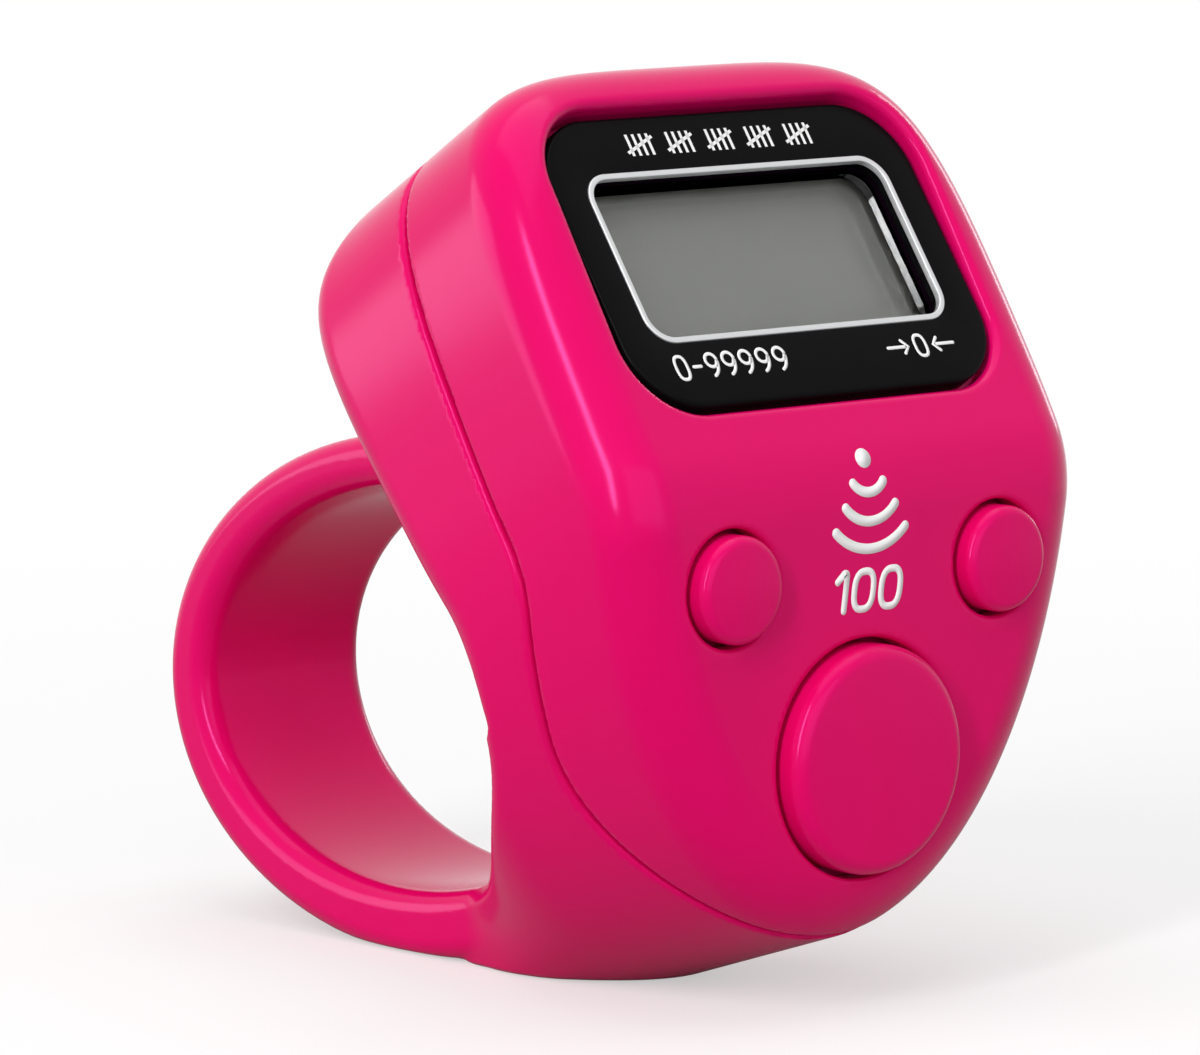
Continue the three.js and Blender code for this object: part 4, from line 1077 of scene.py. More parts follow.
class ShapeTree(Wiring):
    """A Geometry Nodes tree with named inputs."""

    def __init__(self, name: str, whole: Sequence[str], sizes: Sequence[str]) -> None:
        """Starts a tree with a geometry input and output.

        Args:
            name: Name of the tree.
            whole: Names of its whole-number inputs.
            sizes: Names of its other number inputs.
        """
        super().__init__(bpy.data.node_groups.new(name, "GeometryNodeTree"))
        sockets = [("Geometry", "NodeSocketGeometry")]
        sockets += [(socket, "NodeSocketInt") for socket in whole]
        sockets += [(socket, "NodeSocketFloat") for socket in sizes]
        sockets += [("Material", "NodeSocketMaterial")]
        for socket, kind in sockets:
            self.tree.interface.new_socket(socket, in_out="INPUT", socket_type=kind)
        self.tree.interface.new_socket("Geometry", in_out="OUTPUT", socket_type="NodeSocketGeometry")
        self.given = self.add("NodeGroupInput").outputs

    def shape(
        self, kind: str, links: dict[str, object] | None = None, **settings: object,
    ) -> bpy.types.NodeSocket:
        """Adds a Geometry Nodes node.

        Args:
            kind: The node's type, without its usual beginning.
            links: What each input gets, as feed takes it.
            settings: Attributes of the node.

        Returns:
            Its first output.
        """
        return self.add(f"GeometryNode{kind}", links, **settings).outputs[0]

    def vector_of(self, **links: object) -> bpy.types.NodeSocket:
        """Vector of the named parts X, Y and Z."""
        return self.add("ShaderNodeCombineXYZ", links).outputs[0]

    def finish(self, geometry: bpy.types.NodeSocket) -> None:
        """Realizes instances, sets the material and ends the tree.

        Args:
            geometry: What the tree has made.
        """
        real = self.shape("RealizeInstances", {"Geometry": geometry})
        coated = self.shape("SetMaterial", {"Geometry": real, "Material": self.given["Material"]})
        self.add("NodeGroupOutput", {"Geometry": coated})

    def apply(self, piece: bpy.types.Object, values: dict[str, object]) -> None:
        """Runs the tree on a piece and keeps the outcome as a plain mesh.

        Args:
            piece: The piece whose mesh goes in.
            values: Value of each named input.
        """
        modifier = piece.modifiers.new(self.tree.name, "NODES")
        modifier.node_group = self.tree
        for item in self.tree.interface.items_tree:
            if item.in_out == "INPUT" and item.name in values:
                modifier[item.identifier] = values[item.name]
        ready = piece.evaluated_get(bpy.context.evaluated_depsgraph_get())
        mesh = bpy.data.meshes.new_from_object(ready)
        piece.modifiers.clear()
        piece.data = mesh
        mesh.name = piece.name


def turning_tree() -> ShapeTree:
    """Tree that turns a profile, drawn as edges in X and Y, round the Y axis.

    Returns:
        The tree.
    """
    tree = ShapeTree("turned_profile", ("Segments",), ("Axis radius",))
    given = tree.given
    profile = tree.shape("MeshToCurve", {"Mesh": given["Geometry"]})
    circle = tree.shape(
        "CurvePrimitiveCircle", {"Resolution": given["Segments"], "Radius": given["Axis radius"]})
    skin = tree.shape("CurveToMesh", {"Curve": circle, "Profile Curve": profile})
    upright = tree.shape("Transform", {"Geometry": skin, "Rotation": (QUARTER, 0.0, 0.0)})
    joined = tree.shape("MergeByDistance", {"Geometry": upright, "Distance": given["Axis radius"]})
    tree.finish(tree.shape("SetShadeSmooth", {"Geometry": joined}))
    return tree


def outline_tree() -> ShapeTree:
    """Tree that runs a small rounded bar round a rounded rectangle.

    Returns:
        The tree.
    """
    sizes = ("Width", "Height", "Corner", "Bar width", "Bar height", "Bar round")
    tree = ShapeTree("outline_bar", ("Steps", "Bar steps"), sizes)
    given = tree.given
    curves = []
    for width, height, corner, steps in (sizes[:3] + ("Steps",), sizes[3:] + ("Bar steps",)):
        plain = tree.shape("CurvePrimitiveQuadrilateral", {"Width": given[width], "Height": given[height]})
        curves.append(tree.shape(
            "FilletCurve", {"Curve": plain, "Radius": given[corner], "Count": given[steps]}, mode="POLY"))
    skin = tree.shape("CurveToMesh", {"Curve": curves[0], "Profile Curve": curves[1]})
    tree.finish(tree.shape("SetShadeSmooth", {"Geometry": skin}))
    return tree


def tally_tree() -> ShapeTree:
    """Tree that sets out groups of tally marks: upright bars in a row and one across them.

    Returns:
        The tree.
    """
    tree = ShapeTree(
        "tally_marks", ("Groups", "Bars"),
        ("Group pitch", "Bar pitch", "Bar width", "Bar height", "Ink", "Cross length", "Lean"))
    given = tree.given

    def centred_row(count: str, pitch: str) -> bpy.types.NodeSocket:
        """Points in a row along X about the origin.

        Args:
            count: Input that holds their number.
            pitch: Input that holds their pitch.

        Returns:
            The points.
        """
        step = tree.vector_of(X=given[pitch])
        half = tree.maths("MULTIPLY", tree.maths("ADD", given[count], -1.0), -0.5)
        start = tree.vector("SCALE", first=step, scale=half)
        return tree.shape("MeshLine", {"Count": given[count], "Start Location": start, "Offset": step})

    def bar(length: str) -> bpy.types.NodeSocket:
        """A bar whose length is a named input."""
        size = tree.vector_of(X=given["Bar width"], Y=given[length], Z=given["Ink"])
        return tree.shape("MeshCube", {"Size": size})

    bars = tree.shape(
        "InstanceOnPoints", {"Points": centred_row("Bars", "Bar pitch"), "Instance": bar("Bar height")})
    turn = tree.vector_of(Z=given["Lean"])
    across = tree.shape("Transform", {"Geometry": bar("Cross length"), "Rotation": turn})
    group = tree.add("GeometryNodeJoinGeometry")
    tree.feed(group, {"0": bars})
    tree.feed(group, {"0": across})
    tree.finish(tree.shape(
        "InstanceOnPoints",
        {"Points": centred_row("Groups", "Group pitch"), "Instance": group.outputs[0]}))
    return tree


# Finishes


class Pattern(Enum):
    """How a finish wanders over its surface."""

    MOULDED = "fine even noise"
    BRUSHED = "noise drawn out along one axis"
    CLOUDED = "broad soft clouds"
    TRACKS = "angular cells, as of copper tracks under lacquer"


@dataclass(frozen=True)
class Finish:
    """A procedural surface, whose sizes are in millimetres."""

    colour: Point
    roughness: float
    metallic: float = 0.0
    wander: float = 0.06
    roughness_spread: float = 0.04
    grain: float = 0.0
    size: float = 1.2
    pattern: Pattern = Pattern.MOULDED
    transmission: float = 0.0
    refraction: float = 1.45
    gloss: float = 0.5
    gloss_tint: Point = (1.0, 1.0, 1.0)
    # border: black print round a pane's edge, which also stands in for shade; well: painted shade, black,
    # down the window's well.
    border: Bezel | None = None
    well: Bezel | None = None


FINISHES = {
    # Pink plastic: painted shade, black, down the window's well.
    "pink_plastic": Finish(
        (0.70, 0.0015, 0.118), 0.17, wander=0.03, roughness_spread=0.03, grain=0.0015, gloss=0.25,
        gloss_tint=(1.0, 0.3, 1.0), well=Bezel()),
    "black_plastic": Finish(
        (0.003, 0.003, 0.0035), 0.27, wander=0.2, roughness_spread=0.05, grain=0.0015, gloss=0.04),
    "silver_print": Finish((0.62, 0.63, 0.64), 0.34, metallic=0.55, pattern=Pattern.BRUSHED),
    # Clear plastic: black print round the pane's edge, which also stands in for the shade inside the window.
    "clear_plastic": Finish(
        (0.96, 0.97, 0.97), 0.03, transmission=1.0, refraction=1.3, wander=0.01, border=Bezel()),
    "display_glass": Finish(
        (0.175, 0.175, 0.162), 0.22, pattern=Pattern.CLOUDED, size=3.0, wander=0.05, gloss=0.15),
    "reflector_foil": Finish((0.45, 0.46, 0.42), 0.4, metallic=0.5, pattern=Pattern.BRUSHED),
    # White plastic: painted shade, black, down the window's well.
    "white_plastic": Finish((0.62, 0.62, 0.60), 0.4, grain=0.003, well=Bezel()),
    "zebra_rubber": Finish((0.45, 0.12, 0.14), 0.7, grain=0.004),
    "green_board": Finish((0.012, 0.12, 0.045), 0.32, pattern=Pattern.TRACKS, size=1.6, wander=0.35),
    "screw_steel": Finish((0.55, 0.55, 0.56), 0.28, metallic=1.0, pattern=Pattern.BRUSHED, wander=0.12),
    "cell_steel": Finish((0.66, 0.66, 0.65), 0.2, metallic=1.0, pattern=Pattern.BRUSHED),
    "contact_steel": Finish((0.70, 0.68, 0.62), 0.25, metallic=1.0, pattern=Pattern.BRUSHED),
    "black_resin": Finish((0.016, 0.016, 0.017), 0.35, grain=0.01, pattern=Pattern.CLOUDED, wander=0.25),
    "capacitor_ceramic": Finish((0.42, 0.30, 0.19), 0.45, grain=0.003),
    "buzzer_brass": Finish((0.72, 0.52, 0.22), 0.27, metallic=1.0, pattern=Pattern.BRUSHED),
    "red_lead": Finish((0.55, 0.02, 0.015), 0.4, grain=0.002),
    "black_lead": Finish((0.015, 0.015, 0.016), 0.4, grain=0.002, wander=0.2),
    "white_print": Finish((0.86, 0.86, 0.86), 0.45, wander=0.02, size=0.5),
}


@dataclass
class Paint:
    """Makes the materials, with one shared group that wanders colour and roughness."""

    # Reach of the painted shade down the window's well, in millimetres.
    well_margin: float = 1.6
    well_start: float = 0.2
    well_end: float = 4.5
    brush_stretch: float = 12.0
    cloud_scale: float = 0.5
    noise_detail: float = 3.0

    def __post_init__(self) -> None:
        """Builds the shared group and starts with no material."""
        self.made: dict[str, bpy.types.Material] = {}
        self.group = self.wander_group()

    def wander_group(self) -> bpy.types.NodeTree:
        """The group that turns two noises into a colour, a roughness and a height.

        Returns:
            The shader node group.
        """
        group = bpy.data.node_groups.new("surface_wander", "ShaderNodeTree")
        for way, names in (
            ("INPUT", ("Colour", "Wander", "Roughness", "Spread", "Coarse", "Fine")),
            ("OUTPUT", ("Colour", "Roughness", "Height")),
        ):
            for name in names:
                kind = "NodeSocketColor" if name == "Colour" else "NodeSocketFloat"
                group.interface.new_socket(name, in_out=way, socket_type=kind)
        wiring = Wiring(group)
        given = wiring.add("NodeGroupInput").outputs
        shade = wiring.maths("SUBTRACT", given["Coarse"], 0.5)
        scale = wiring.maths("MULTIPLY_ADD", shade, given["Wander"], 1.0)
        wiring.add("NodeGroupOutput", {
            "Colour": wiring.vector("SCALE", first=given["Colour"], scale=scale),
            "Roughness": wiring.maths("MULTIPLY_ADD", shade, given["Spread"], given["Roughness"]),
            "Height": given["Fine"]})
        return group

    def texture(self, wiring: Wiring, place: bpy.types.NodeSocket, finish: Finish) -> bpy.types.NodeSocket:
        """The coarse pattern of a finish.

        Args:
            wiring: Tree of the material.
            place: Object coordinates.
            finish: The finish.

        Returns:
            The pattern's value socket.
        """
        scale = 1.0 / (finish.size * MM)
        stretch = self.brush_stretch if finish.pattern is Pattern.BRUSHED else 1.0
        spread = wiring.add("ShaderNodeMapping", {"Vector": place, "Scale": (scale, scale * stretch, scale)})
        links = {"Vector": spread.outputs[0]}
        if finish.pattern is Pattern.TRACKS:
            return wiring.add("ShaderNodeTexVoronoi", links, distance="CHEBYCHEV").outputs["Distance"]
        links["Scale"] = self.cloud_scale if finish.pattern is Pattern.CLOUDED else 1.0
        links["Detail"] = self.noise_detail
        return wiring.add("ShaderNodeTexNoise", links).outputs["Fac"]

    def window_place(
        self, wiring: Wiring, place: bpy.types.NodeSocket, bezel: Bezel,
    ) -> tuple[bpy.types.NodeSocket, bpy.types.NodeSocket]:
        """Where a point lies against the display window.

        Args:
            wiring: Tree of the material.
            place: Object coordinates.
            bezel: Sizes of the window.

        Returns:
            Distance from the window's straight middle part, and height over the bezel's face, in metres.
        """
        lean = bezel.lean - QUARTER
        centre = Matrix.Rotation(lean, 3, "X") @ Vector((0.0, bezel.y, bezel.z))
        shift = -(centre + Vector((0.0, bezel.window_rise, 0.0))) * MM
        turned = wiring.add(
            "ShaderNodeMapping", {"Vector": place, "Rotation": (lean, 0.0, 0.0), "Location": shift},
            vector_type="POINT").outputs[0]
        corner = bezel.window_corner
        straight = ((bezel.window_width / 2.0 - corner) * MM, (bezel.window_height / 2.0 - corner) * MM, 1.0)
        past = wiring.vector("ABSOLUTE", first=turned)
        past = wiring.vector("SUBTRACT", first=past, second=straight)
        past = wiring.vector("MAXIMUM", first=past, second=(0.0, 0.0, 0.0))
        height = wiring.add("ShaderNodeSeparateXYZ", {"0": turned}).outputs["Z"]
        return wiring.vector("LENGTH", first=past), height

    def bare_share(
        self, wiring: Wiring, place: bpy.types.NodeSocket, finish: Finish,
    ) -> bpy.types.NodeSocket:
        """Nothing where the colour is painted black: black print round a pane's edge, which also stands in
        for shade inside the window, and painted shade down the window's well.

        Args:
            wiring: Tree of the material.
            place: Object coordinates.
            finish: The finish, which names a border or a well.

        Returns:
            The share of the colour that is kept, one away from the print and the painted shade.
        """
        if finish.border is not None:
            distance, _ = self.window_place(wiring, place, finish.border)
            return wiring.maths("LESS_THAN", distance, finish.border.window_corner * MM)
        distance, height = self.window_place(wiring, place, finish.well)
        beside = wiring.maths("GREATER_THAN", distance, (finish.well.window_corner + self.well_margin) * MM)
        over = wiring.maths("GREATER_THAN", height, -self.well_start * MM)
        under = wiring.maths("LESS_THAN", height, -self.well_end * MM)
        return wiring.maths("MAXIMUM", wiring.maths("MAXIMUM", beside, over), under)

    def material(self, name: str) -> bpy.types.Material:
        """The material of a named finish.

        Args:
            name: Key of the finish.

        Returns:
            The material, made once.
        """
        if name in self.made:
            return self.made[name]
        finish = FINISHES[name]
        material = bpy.data.materials.new(name)
        material.use_nodes = True
        wiring = Wiring(material.node_tree)
        shader = material.node_tree.nodes["Principled BSDF"]
        place = wiring.add("ShaderNodeTexCoord").outputs["Object"]
        shared = wiring.add("ShaderNodeGroup", {
            "Colour": (*finish.colour, 1.0), "Wander": finish.wander, "Roughness": finish.roughness,
            "Spread": finish.roughness_spread, "Coarse": self.texture(wiring, place, finish),
        }, node_tree=self.group)
        colour, roughness = shared.outputs["Colour"], shared.outputs["Roughness"]
        # Black print round a pane's edge, which also stands in for shade, and painted shade down the window's
        # well: the colour is scaled to black there, and the well's roughness rises so that it shows no
        # highlight.
        if finish.border is not None or finish.well is not None:
            free_of_print_and_shade = self.bare_share(wiring, place, finish)
            colour = wiring.vector("SCALE", first=colour, scale=free_of_print_and_shade)
        if finish.well is not None:
            roughness = wiring.maths("SUBTRACT", wiring.maths("ADD", roughness, 1.0), free_of_print_and_shade)
        if finish.grain > 0.0:
            fine = wiring.add("ShaderNodeTexNoise", {"Vector": place, "Scale": 1.0 / MM})
            wiring.feed(shared, {"Fine": fine.outputs["Fac"]})
            bump = wiring.add(
                "ShaderNodeBump", {"Height": shared.outputs["Height"], "Distance": finish.grain * MM})
            wiring.feed(shader, {"Normal": bump.outputs["Normal"]})
        wiring.feed(shader, {
            "Base Color": colour, "Roughness": roughness, "Metallic": finish.metallic,
            "Transmission Weight": finish.transmission, "IOR": finish.refraction,
            "Specular IOR Level": finish.gloss, "Specular Tint": (*finish.gloss_tint, 1.0)})
        self.made[name] = material
        return material

    def coat(self, piece: bpy.types.Object, name: str) -> None:
        """Gives a piece one finish.

        Args:
            piece: The piece.
            name: Key of the finish.
        """
        piece.data.materials.clear()
        piece.data.materials.append(self.material(name))


@dataclass(frozen=True)
class Builder:
    """What every sub-assembly shares: the form, the paint and how a piece is handed to the frame."""

    form: CounterForm
    paint: Paint

    def hand_over(self, piece: bpy.types.Object, body: str, finish: str, *nodes: str) -> None:
        """Finishes a piece and lets it ride on its body.

        Args:
            piece: The piece.
            body: Body that it rides on.
            finish: Key of its finish, which is also its slot in the record.
            nodes: CAD nodes that it stands for.
        """
        self.paint.coat(piece, finish)
        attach(piece, body)
        if nodes:
            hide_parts(*nodes)
        log.info("%s rides on %s", piece.name, body)


def box_of(node: str) -> tuple[Array, Array]:
    """Lowest and highest corner of a CAD node, in millimetres."""
    low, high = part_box(node)
    return np.array(low) / MM, np.array(high) / MM


@dataclass(frozen=True)
class Sampling:
    """Grid steps of the surface nets, in millimetres."""

    front: float = 0.22
    rear: float = 0.29
    door: float = 0.16
    screw: float = 0.07
    rough_factor: float = 2.0
    margin: float = 0.4

    def step(self, fine: float) -> float:
        """The step to use, which is always the fine step given."""
        return fine


@dataclass(frozen=True)
class Casing(Builder):
    """The two shells and the battery door."""

    sampling: Sampling = Sampling()

    def build(self) -> None:
        """Makes the three mouldings."""
        margin = self.sampling.margin
        for name, field, step in (
            ("front_shell", self.form.front_shell, self.sampling.front),
            ("rear_shell", self.form.rear_shell, self.sampling.rear),
            ("battery_door", self.form.battery_door, self.sampling.door),
        ):
            low, high = box_of(name)
            net = SurfaceNet(self.sampling.step(step))
            piece = net.build(f"{name}_skin", field, low - margin, high + margin)
            self.hand_over(piece, BODY, "pink_plastic", name)


@dataclass(frozen=True)
class Keys(Builder):
    """The three press buttons."""

    dome: float = 0.1
    flange_rim: float = 0.85
    flange_height: float = 0.8
    behind_wall: float = 0.3
    stem_radius: float = 1.5
    stem_end: float = 1.5
    rim_round: float = 0.12
    segments: int = 96
    edge_steps: int = 10
    face_steps: int = 8
    axis_radius: float = 0.0005
    sharp: float = math.radians(40.0)

    def profile(self, key: Key) -> list[FlatPoint]:
        """Half section of a button: distance from its axis and Y.

        Args:
            key: The button.

        Returns:
            The points, from the middle of its face to the end of its stem.
        """
        face_y = self.form.head.key_face_y - key.proud
        flat = key.radius - key.edge
        points = []
        for step in range(self.face_steps):
            radius = flat * step / self.face_steps
            points.append((radius, face_y - self.dome * (1.0 - (radius / flat) ** 2)))
        for step in range(self.edge_steps + 1):
            angle = QUARTER * step / self.edge_steps
            points.append((flat + key.edge * math.sin(angle), face_y + key.edge * (1.0 - math.cos(angle))))
        flange_y = self.form.head.key_face_y + self.form.walls.front + self.behind_wall
        back_y = flange_y + self.flange_height
        rim = key.radius + self.flange_rim
        stem_y = flange_y + self.stem_end
        soft, stem = self.rim_round, self.stem_radius
        return points + [
            (key.radius, flange_y), (rim - soft, flange_y), (rim, flange_y + soft),
            (rim, back_y - soft), (rim - soft, back_y), (stem, back_y),
            (stem, stem_y - soft), (stem - soft, stem_y), (0.0, stem_y)]

    def build(self) -> None:
        """Turns each button from its profile."""
        tree = turning_tree()
        for key in KEYS:
            points = self.profile(key)
            edges = [(i, i + 1) for i in range(len(points) - 1)]
            mesh = bpy.data.meshes.new(f"{key.name}_key")
            mesh.from_pydata([(radius * MM, y * MM, 0.0) for radius, y in points], edges, [])
            piece = bpy.data.objects.new(f"{key.name}_key", mesh)
            bpy.context.scene.collection.objects.link(piece)
            tree.apply(piece, {
                "Segments": self.segments, "Axis radius": self.axis_radius * MM,
                "Material": self.paint.material("pink_plastic")})
            piece.data.transform(Matrix.Translation((key.x * MM, 0.0, key.z * MM)))
            point_outwards(piece)
            sharpen(piece, self.sharp)
            self.hand_over(piece, f"{key.name}_key", "pink_plastic", f"{key.name}_button")


@dataclass(frozen=True)
class Display(Builder):
    """The bezel and the silver outline of its window."""

    corner_steps: int = 20
    edge_steps: int = 5
    trim_width: float = 0.3
    trim_height: float = 0.35
    trim_proud: float = 0.05
    trim_round: float = 0.06
    trim_round_steps: int = 3
    inner_edge: float = 0.05
    trim_clearance: float = 0.02
    plate_sharp: float = math.radians(40.0)
    trim_sharp: float = math.radians(50.0)

    def window_ring(self, out: float, growth: float) -> list[Point]:
        """A ring round the plate's opening.

        Args:
            out: Height over the bezel's face.
            growth: How far the ring stands off the opening's wall.

        Returns:
            The points.
        """
        bezel = self.form.bezel
        opening = 2.0 * (self.trim_width + self.trim_clearance) + 2.0 * growth
        points = rounded_outline(
            bezel.window_width + opening, bezel.window_height + opening,
            bezel.window_corner + opening / 2.0, self.corner_steps)
        return [(x, up + bezel.window_rise, out) for x, up in points]

    def plate_ring(self, out: float, inset: float) -> list[Point]:
        """A ring round the plate's outside.

        Args:
            out: Height over the bezel's face.
            inset: How far the ring is drawn in.

        Returns:
            The points.
        """
        bezel = self.form.bezel
        width, height = bezel.width - 2.0 * inset, bezel.height - 2.0 * inset
        points = rounded_outline(width, height, bezel.corner - inset, self.corner_steps)
        return [(x, up, out) for x, up in points]

    def bezel(self) -> bpy.types.Object:
        """The plate with its window and its rounded edges.

        Returns:
            The piece.
        """
        back, edge = -self.form.bezel.thickness, self.form.bezel.edge
        angles = [QUARTER * step / self.edge_steps for step in range(self.edge_steps + 1)]
        rings = [self.window_ring(back, 0.0)]
        for angle in angles:
            drop, growth = 1.0 - math.sin(angle), 1.0 - math.cos(angle)
            rings.append(self.window_ring(-self.inner_edge * drop, self.inner_edge * growth))
        for angle in angles:
            drop, inset = 1.0 - math.cos(angle), 1.0 - math.sin(angle)
            rings.append(self.plate_ring(-edge * drop, edge * inset))
        rings.append(self.plate_ring(back, 0.0))
        return lofted("bezel_plate", rings, closed=True)

    def build(self) -> None:
        """Makes the bezel and its trim."""
        bezel = self.form.bezel
        plate = self.bezel()
        plate.data.transform(bezel.frame.matrix() @ Matrix.Scale(1.0 / MM, 4))
        point_outwards(plate)
        sharpen(plate, self.plate_sharp)
        self.hand_over(plate, BODY, "black_plastic", "display_bezel")
        trim = new_object("window_outline", [(0.0, 0.0, 0.0)], [])
        outline_tree().apply(trim, {
            "Width": bezel.window_width + self.trim_width, "Height": bezel.window_height + self.trim_width,
            "Corner": bezel.window_corner + self.trim_width / 2.0, "Steps": self.corner_steps,
            "Bar width": self.trim_width, "Bar height": self.trim_height, "Bar round": self.trim_round,
            "Bar steps": self.trim_round_steps, "Material": self.paint.material("silver_print")})
        rise = self.trim_proud - self.trim_height / 2.0
        trim.data.transform(bezel.frame.matrix() @ Matrix.Translation((0.0, bezel.window_rise, rise)))
        point_outwards(trim)
        sharpen(trim, self.trim_sharp)
        self.hand_over(trim, BODY, "silver_print", "window_trim")


@dataclass(frozen=True)
class Screws(Builder):
    """The two case screws, with crossed slots and their heads at the back."""

    sampling: Sampling = Sampling()
    slot_width: float = 0.24
    slot_depth: float = 0.55
    slot_share: float = 0.68
    edge: float = 0.14

    def screw(self, name: str) -> None:
        """Makes one case screw.

        Args:
            name: CAD node that it stands for.
        """
        sizes = self.form.screws
        low, high = box_of(name)
        middle = (low + high) / 2.0
        back = high[1]
        slot_floor = back - self.slot_depth

        def solid(x: Array, y: Array, z: Array) -> Array:
            """Field of the head and the shank, less the slot.

            Args:
                x: Distance across.
                y: Depth in the counter's frame.
                z: Height in the counter's frame.

            Returns:
                The field.
            """
            first, second = np.abs(x - middle[0]), np.abs(z - middle[2])
            radial = np.hypot(first, second)
            cap = round_max(radial - sizes.head, y - back, self.edge)
            cap = np.maximum(cap, back - sizes.head_height - y)
            ends = np.maximum(low[1] - y, y - back + sizes.head_height / 2.0)
            rod = np.maximum(radial - sizes.shank, ends)
            reach = sizes.head * self.slot_share
            cross = np.minimum(
                np.maximum(first - self.slot_width, second - reach),
                np.maximum(second - self.slot_width, first - reach))
            floor = slot_floor + np.maximum(radial - self.slot_width, 0.0) / 2.0
            return np.maximum(np.minimum(cap, rod), -np.maximum(cross, floor - y))

        net = SurfaceNet(self.sampling.step(self.sampling.screw))
        self.hand_over(net.build(f"{name}_turned", solid, low, high), BODY, "screw_steel", name)

    def build(self) -> None:
        """Makes both case screws."""
        for side in ("left", "right"):
            self.screw(f"case_screw_{side}")


# Print


@dataclass(frozen=True)
class Pen:
    """Draws strokes with round ends as thin closed solids in X, up and out."""

    half_width: float
    ink: float
    cap_steps: int = 6
    blunt_end: float = 0.02
    corners: int = 4

    def capped(self, line: Array) -> tuple[Array, Array]:
        """An open line with its round ends added.

        Args:
            line: The middle line.

        Returns:
            The longer line, and half its width at each point.
        """
        angles = np.linspace(0.0, QUARTER, self.cap_steps, endpoint=False)
        start, end = line[0] - line[1], line[-1] - line[-2]
        reach = self.half_width * np.cos(angles)[:, None]
        lead = line[0] + start / np.linalg.norm(start) * reach
        tail = line[-1] + end / np.linalg.norm(end) * reach[::-1]
        caps = self.half_width * np.maximum(np.sin(angles), self.blunt_end)
        middle = np.full(len(line), self.half_width)
        return np.vstack((lead, line, tail)), np.concatenate((caps, middle, caps[::-1]))

    def stroke(self, points: Sequence[FlatPoint], closed: bool) -> tuple[list[Point], list[list[int]]]:
        """One printed stroke.

        Args:
            points: Its middle line.
            closed: Whether the line ends where it starts.

        Returns:
            Vertices and faces.
        """
        line = np.array(points, float)
        if closed:
            widths = np.full(len(line), self.half_width)
            ahead, behind = np.roll(line, -1, axis=0), np.roll(line, 1, axis=0)
        else:
            line, widths = self.capped(line)
            ahead = np.vstack((line[1:], 2.0 * line[-1] - line[-2]))
            behind = np.vstack((2.0 * line[0] - line[1], line[:-1]))
        along = ahead - behind
        along /= np.linalg.norm(along, axis=1)[:, None]
        side = np.stack((-along[:, 1], along[:, 0]), axis=1) * widths[:, None]
        vertices = []
        for left, right in zip(line + side, line - side):
            vertices += [(*left, self.ink), (*right, self.ink), (*right, 0.0), (*left, 0.0)]
        faces = []
        for section in range(len(line) - (0 if closed else 1)):
            here = self.corners * section
            there = self.corners * ((section + 1) % len(line))
            for corner in range(self.corners):
                after = (corner + 1) % self.corners
                faces.append([here + corner, here + after, there + after, there + corner])
        if not closed:
            first = list(range(self.corners))
            faces += [first[::-1], [len(vertices) - self.corners + corner for corner in first]]
        return vertices, faces


@dataclass(frozen=True)
class Digits:
    """Draws plain digits of one size as middle lines."""

    width: float
    height: float
    lean: float = 0.0
    arc_steps: int = 16
    oval_power: float = 0.75
    flag_bend: float = 0.13
    flag_turn: float = math.radians(135.0)
    loop_start: float = math.radians(-352.0)
    loop_end: float = math.radians(-20.0)
    loop_overlap: int = 3
    tail_turn: float = math.pi / 2.6

    def zero(self, x: float, up: float) -> Line:
        """A nought as an oval, leaning by a share of its height.

        Args:
            x: Where its middle stands.
            up: Row of its middle.

        Returns:
            The line, which is closed.
        """
        turn = np.linspace(0.0, 2.0 * math.pi, 4 * self.arc_steps, endpoint=False)
        cos, sin = np.cos(turn), np.sin(turn)
        across = np.sign(cos) * np.abs(cos) ** self.oval_power * self.width / 2.0
        rise = np.sign(sin) * np.abs(sin) ** self.oval_power * self.height / 2.0
        return [(x + a + self.lean * b, up + b) for a, b in zip(across, rise)], True

    def one(self, x: float, up: float, flag: float) -> Line:
        """A one as a flag and a stem, leaning by a share of its height.

        Args:
            x: Where its stem stands.
            up: Row of its middle.
            flag: How far its flag reaches out and down.

        Returns:
            The line, which is open.
        """
        half, bend = self.height / 2.0, self.flag_bend
        corner = [
            (bend * (math.cos(a) - 1.0), half + bend * (math.sin(a) - 1.0))
            for a in np.linspace(self.flag_turn, 0.0, self.arc_steps // 2)]
        line = [(corner[0][0] - flag, corner[0][1] - flag), *corner, (0.0, -half)]
        return [(x + across + self.lean * rise, up + rise) for across, rise in line], False

    def nine(self, x: float, up: float) -> Line:
        """An upright nine as a loop that runs on into its tail.

        Args:
            x: Where its middle stands.
            up: Row of its middle.

        Returns:
            The line, which is open.
        """
        radius = self.width / 2.0
        centre, drop = up + self.height / 2.0 - radius, self.height - radius
        loop = [
            (x + radius * math.cos(a), centre + radius * math.sin(a))
            for a in np.linspace(self.loop_start, self.loop_end, 2 * self.arc_steps)]
        tail = [
            (x + radius * (2.0 * math.cos(a) - 1.0), centre - drop * math.sin(a))
            for a in np.linspace(0.0, self.tail_turn, self.arc_steps)]
        return [*loop[:-self.loop_overlap], *tail], False


@dataclass(frozen=True)
class Arc:
    """An arc of the pictogram, open upwards."""

    low_row: float
    half_chord: float
    sag: float

    def line(self, middle: float, steps: int) -> Line:
        """Its middle line.

        Args:
            middle: Where its lowest point stands.
            steps: Number of points.

        Returns:
            The line, which is open.
        """
        radius = (self.half_chord**2 + self.sag**2) / (2.0 * self.sag)
        spread = math.asin(self.half_chord / radius)
        return [
            (middle + radius * math.sin(a), self.low_row + radius * (1.0 - math.cos(a)))
            for a in np.linspace(-spread, spread, steps)], False


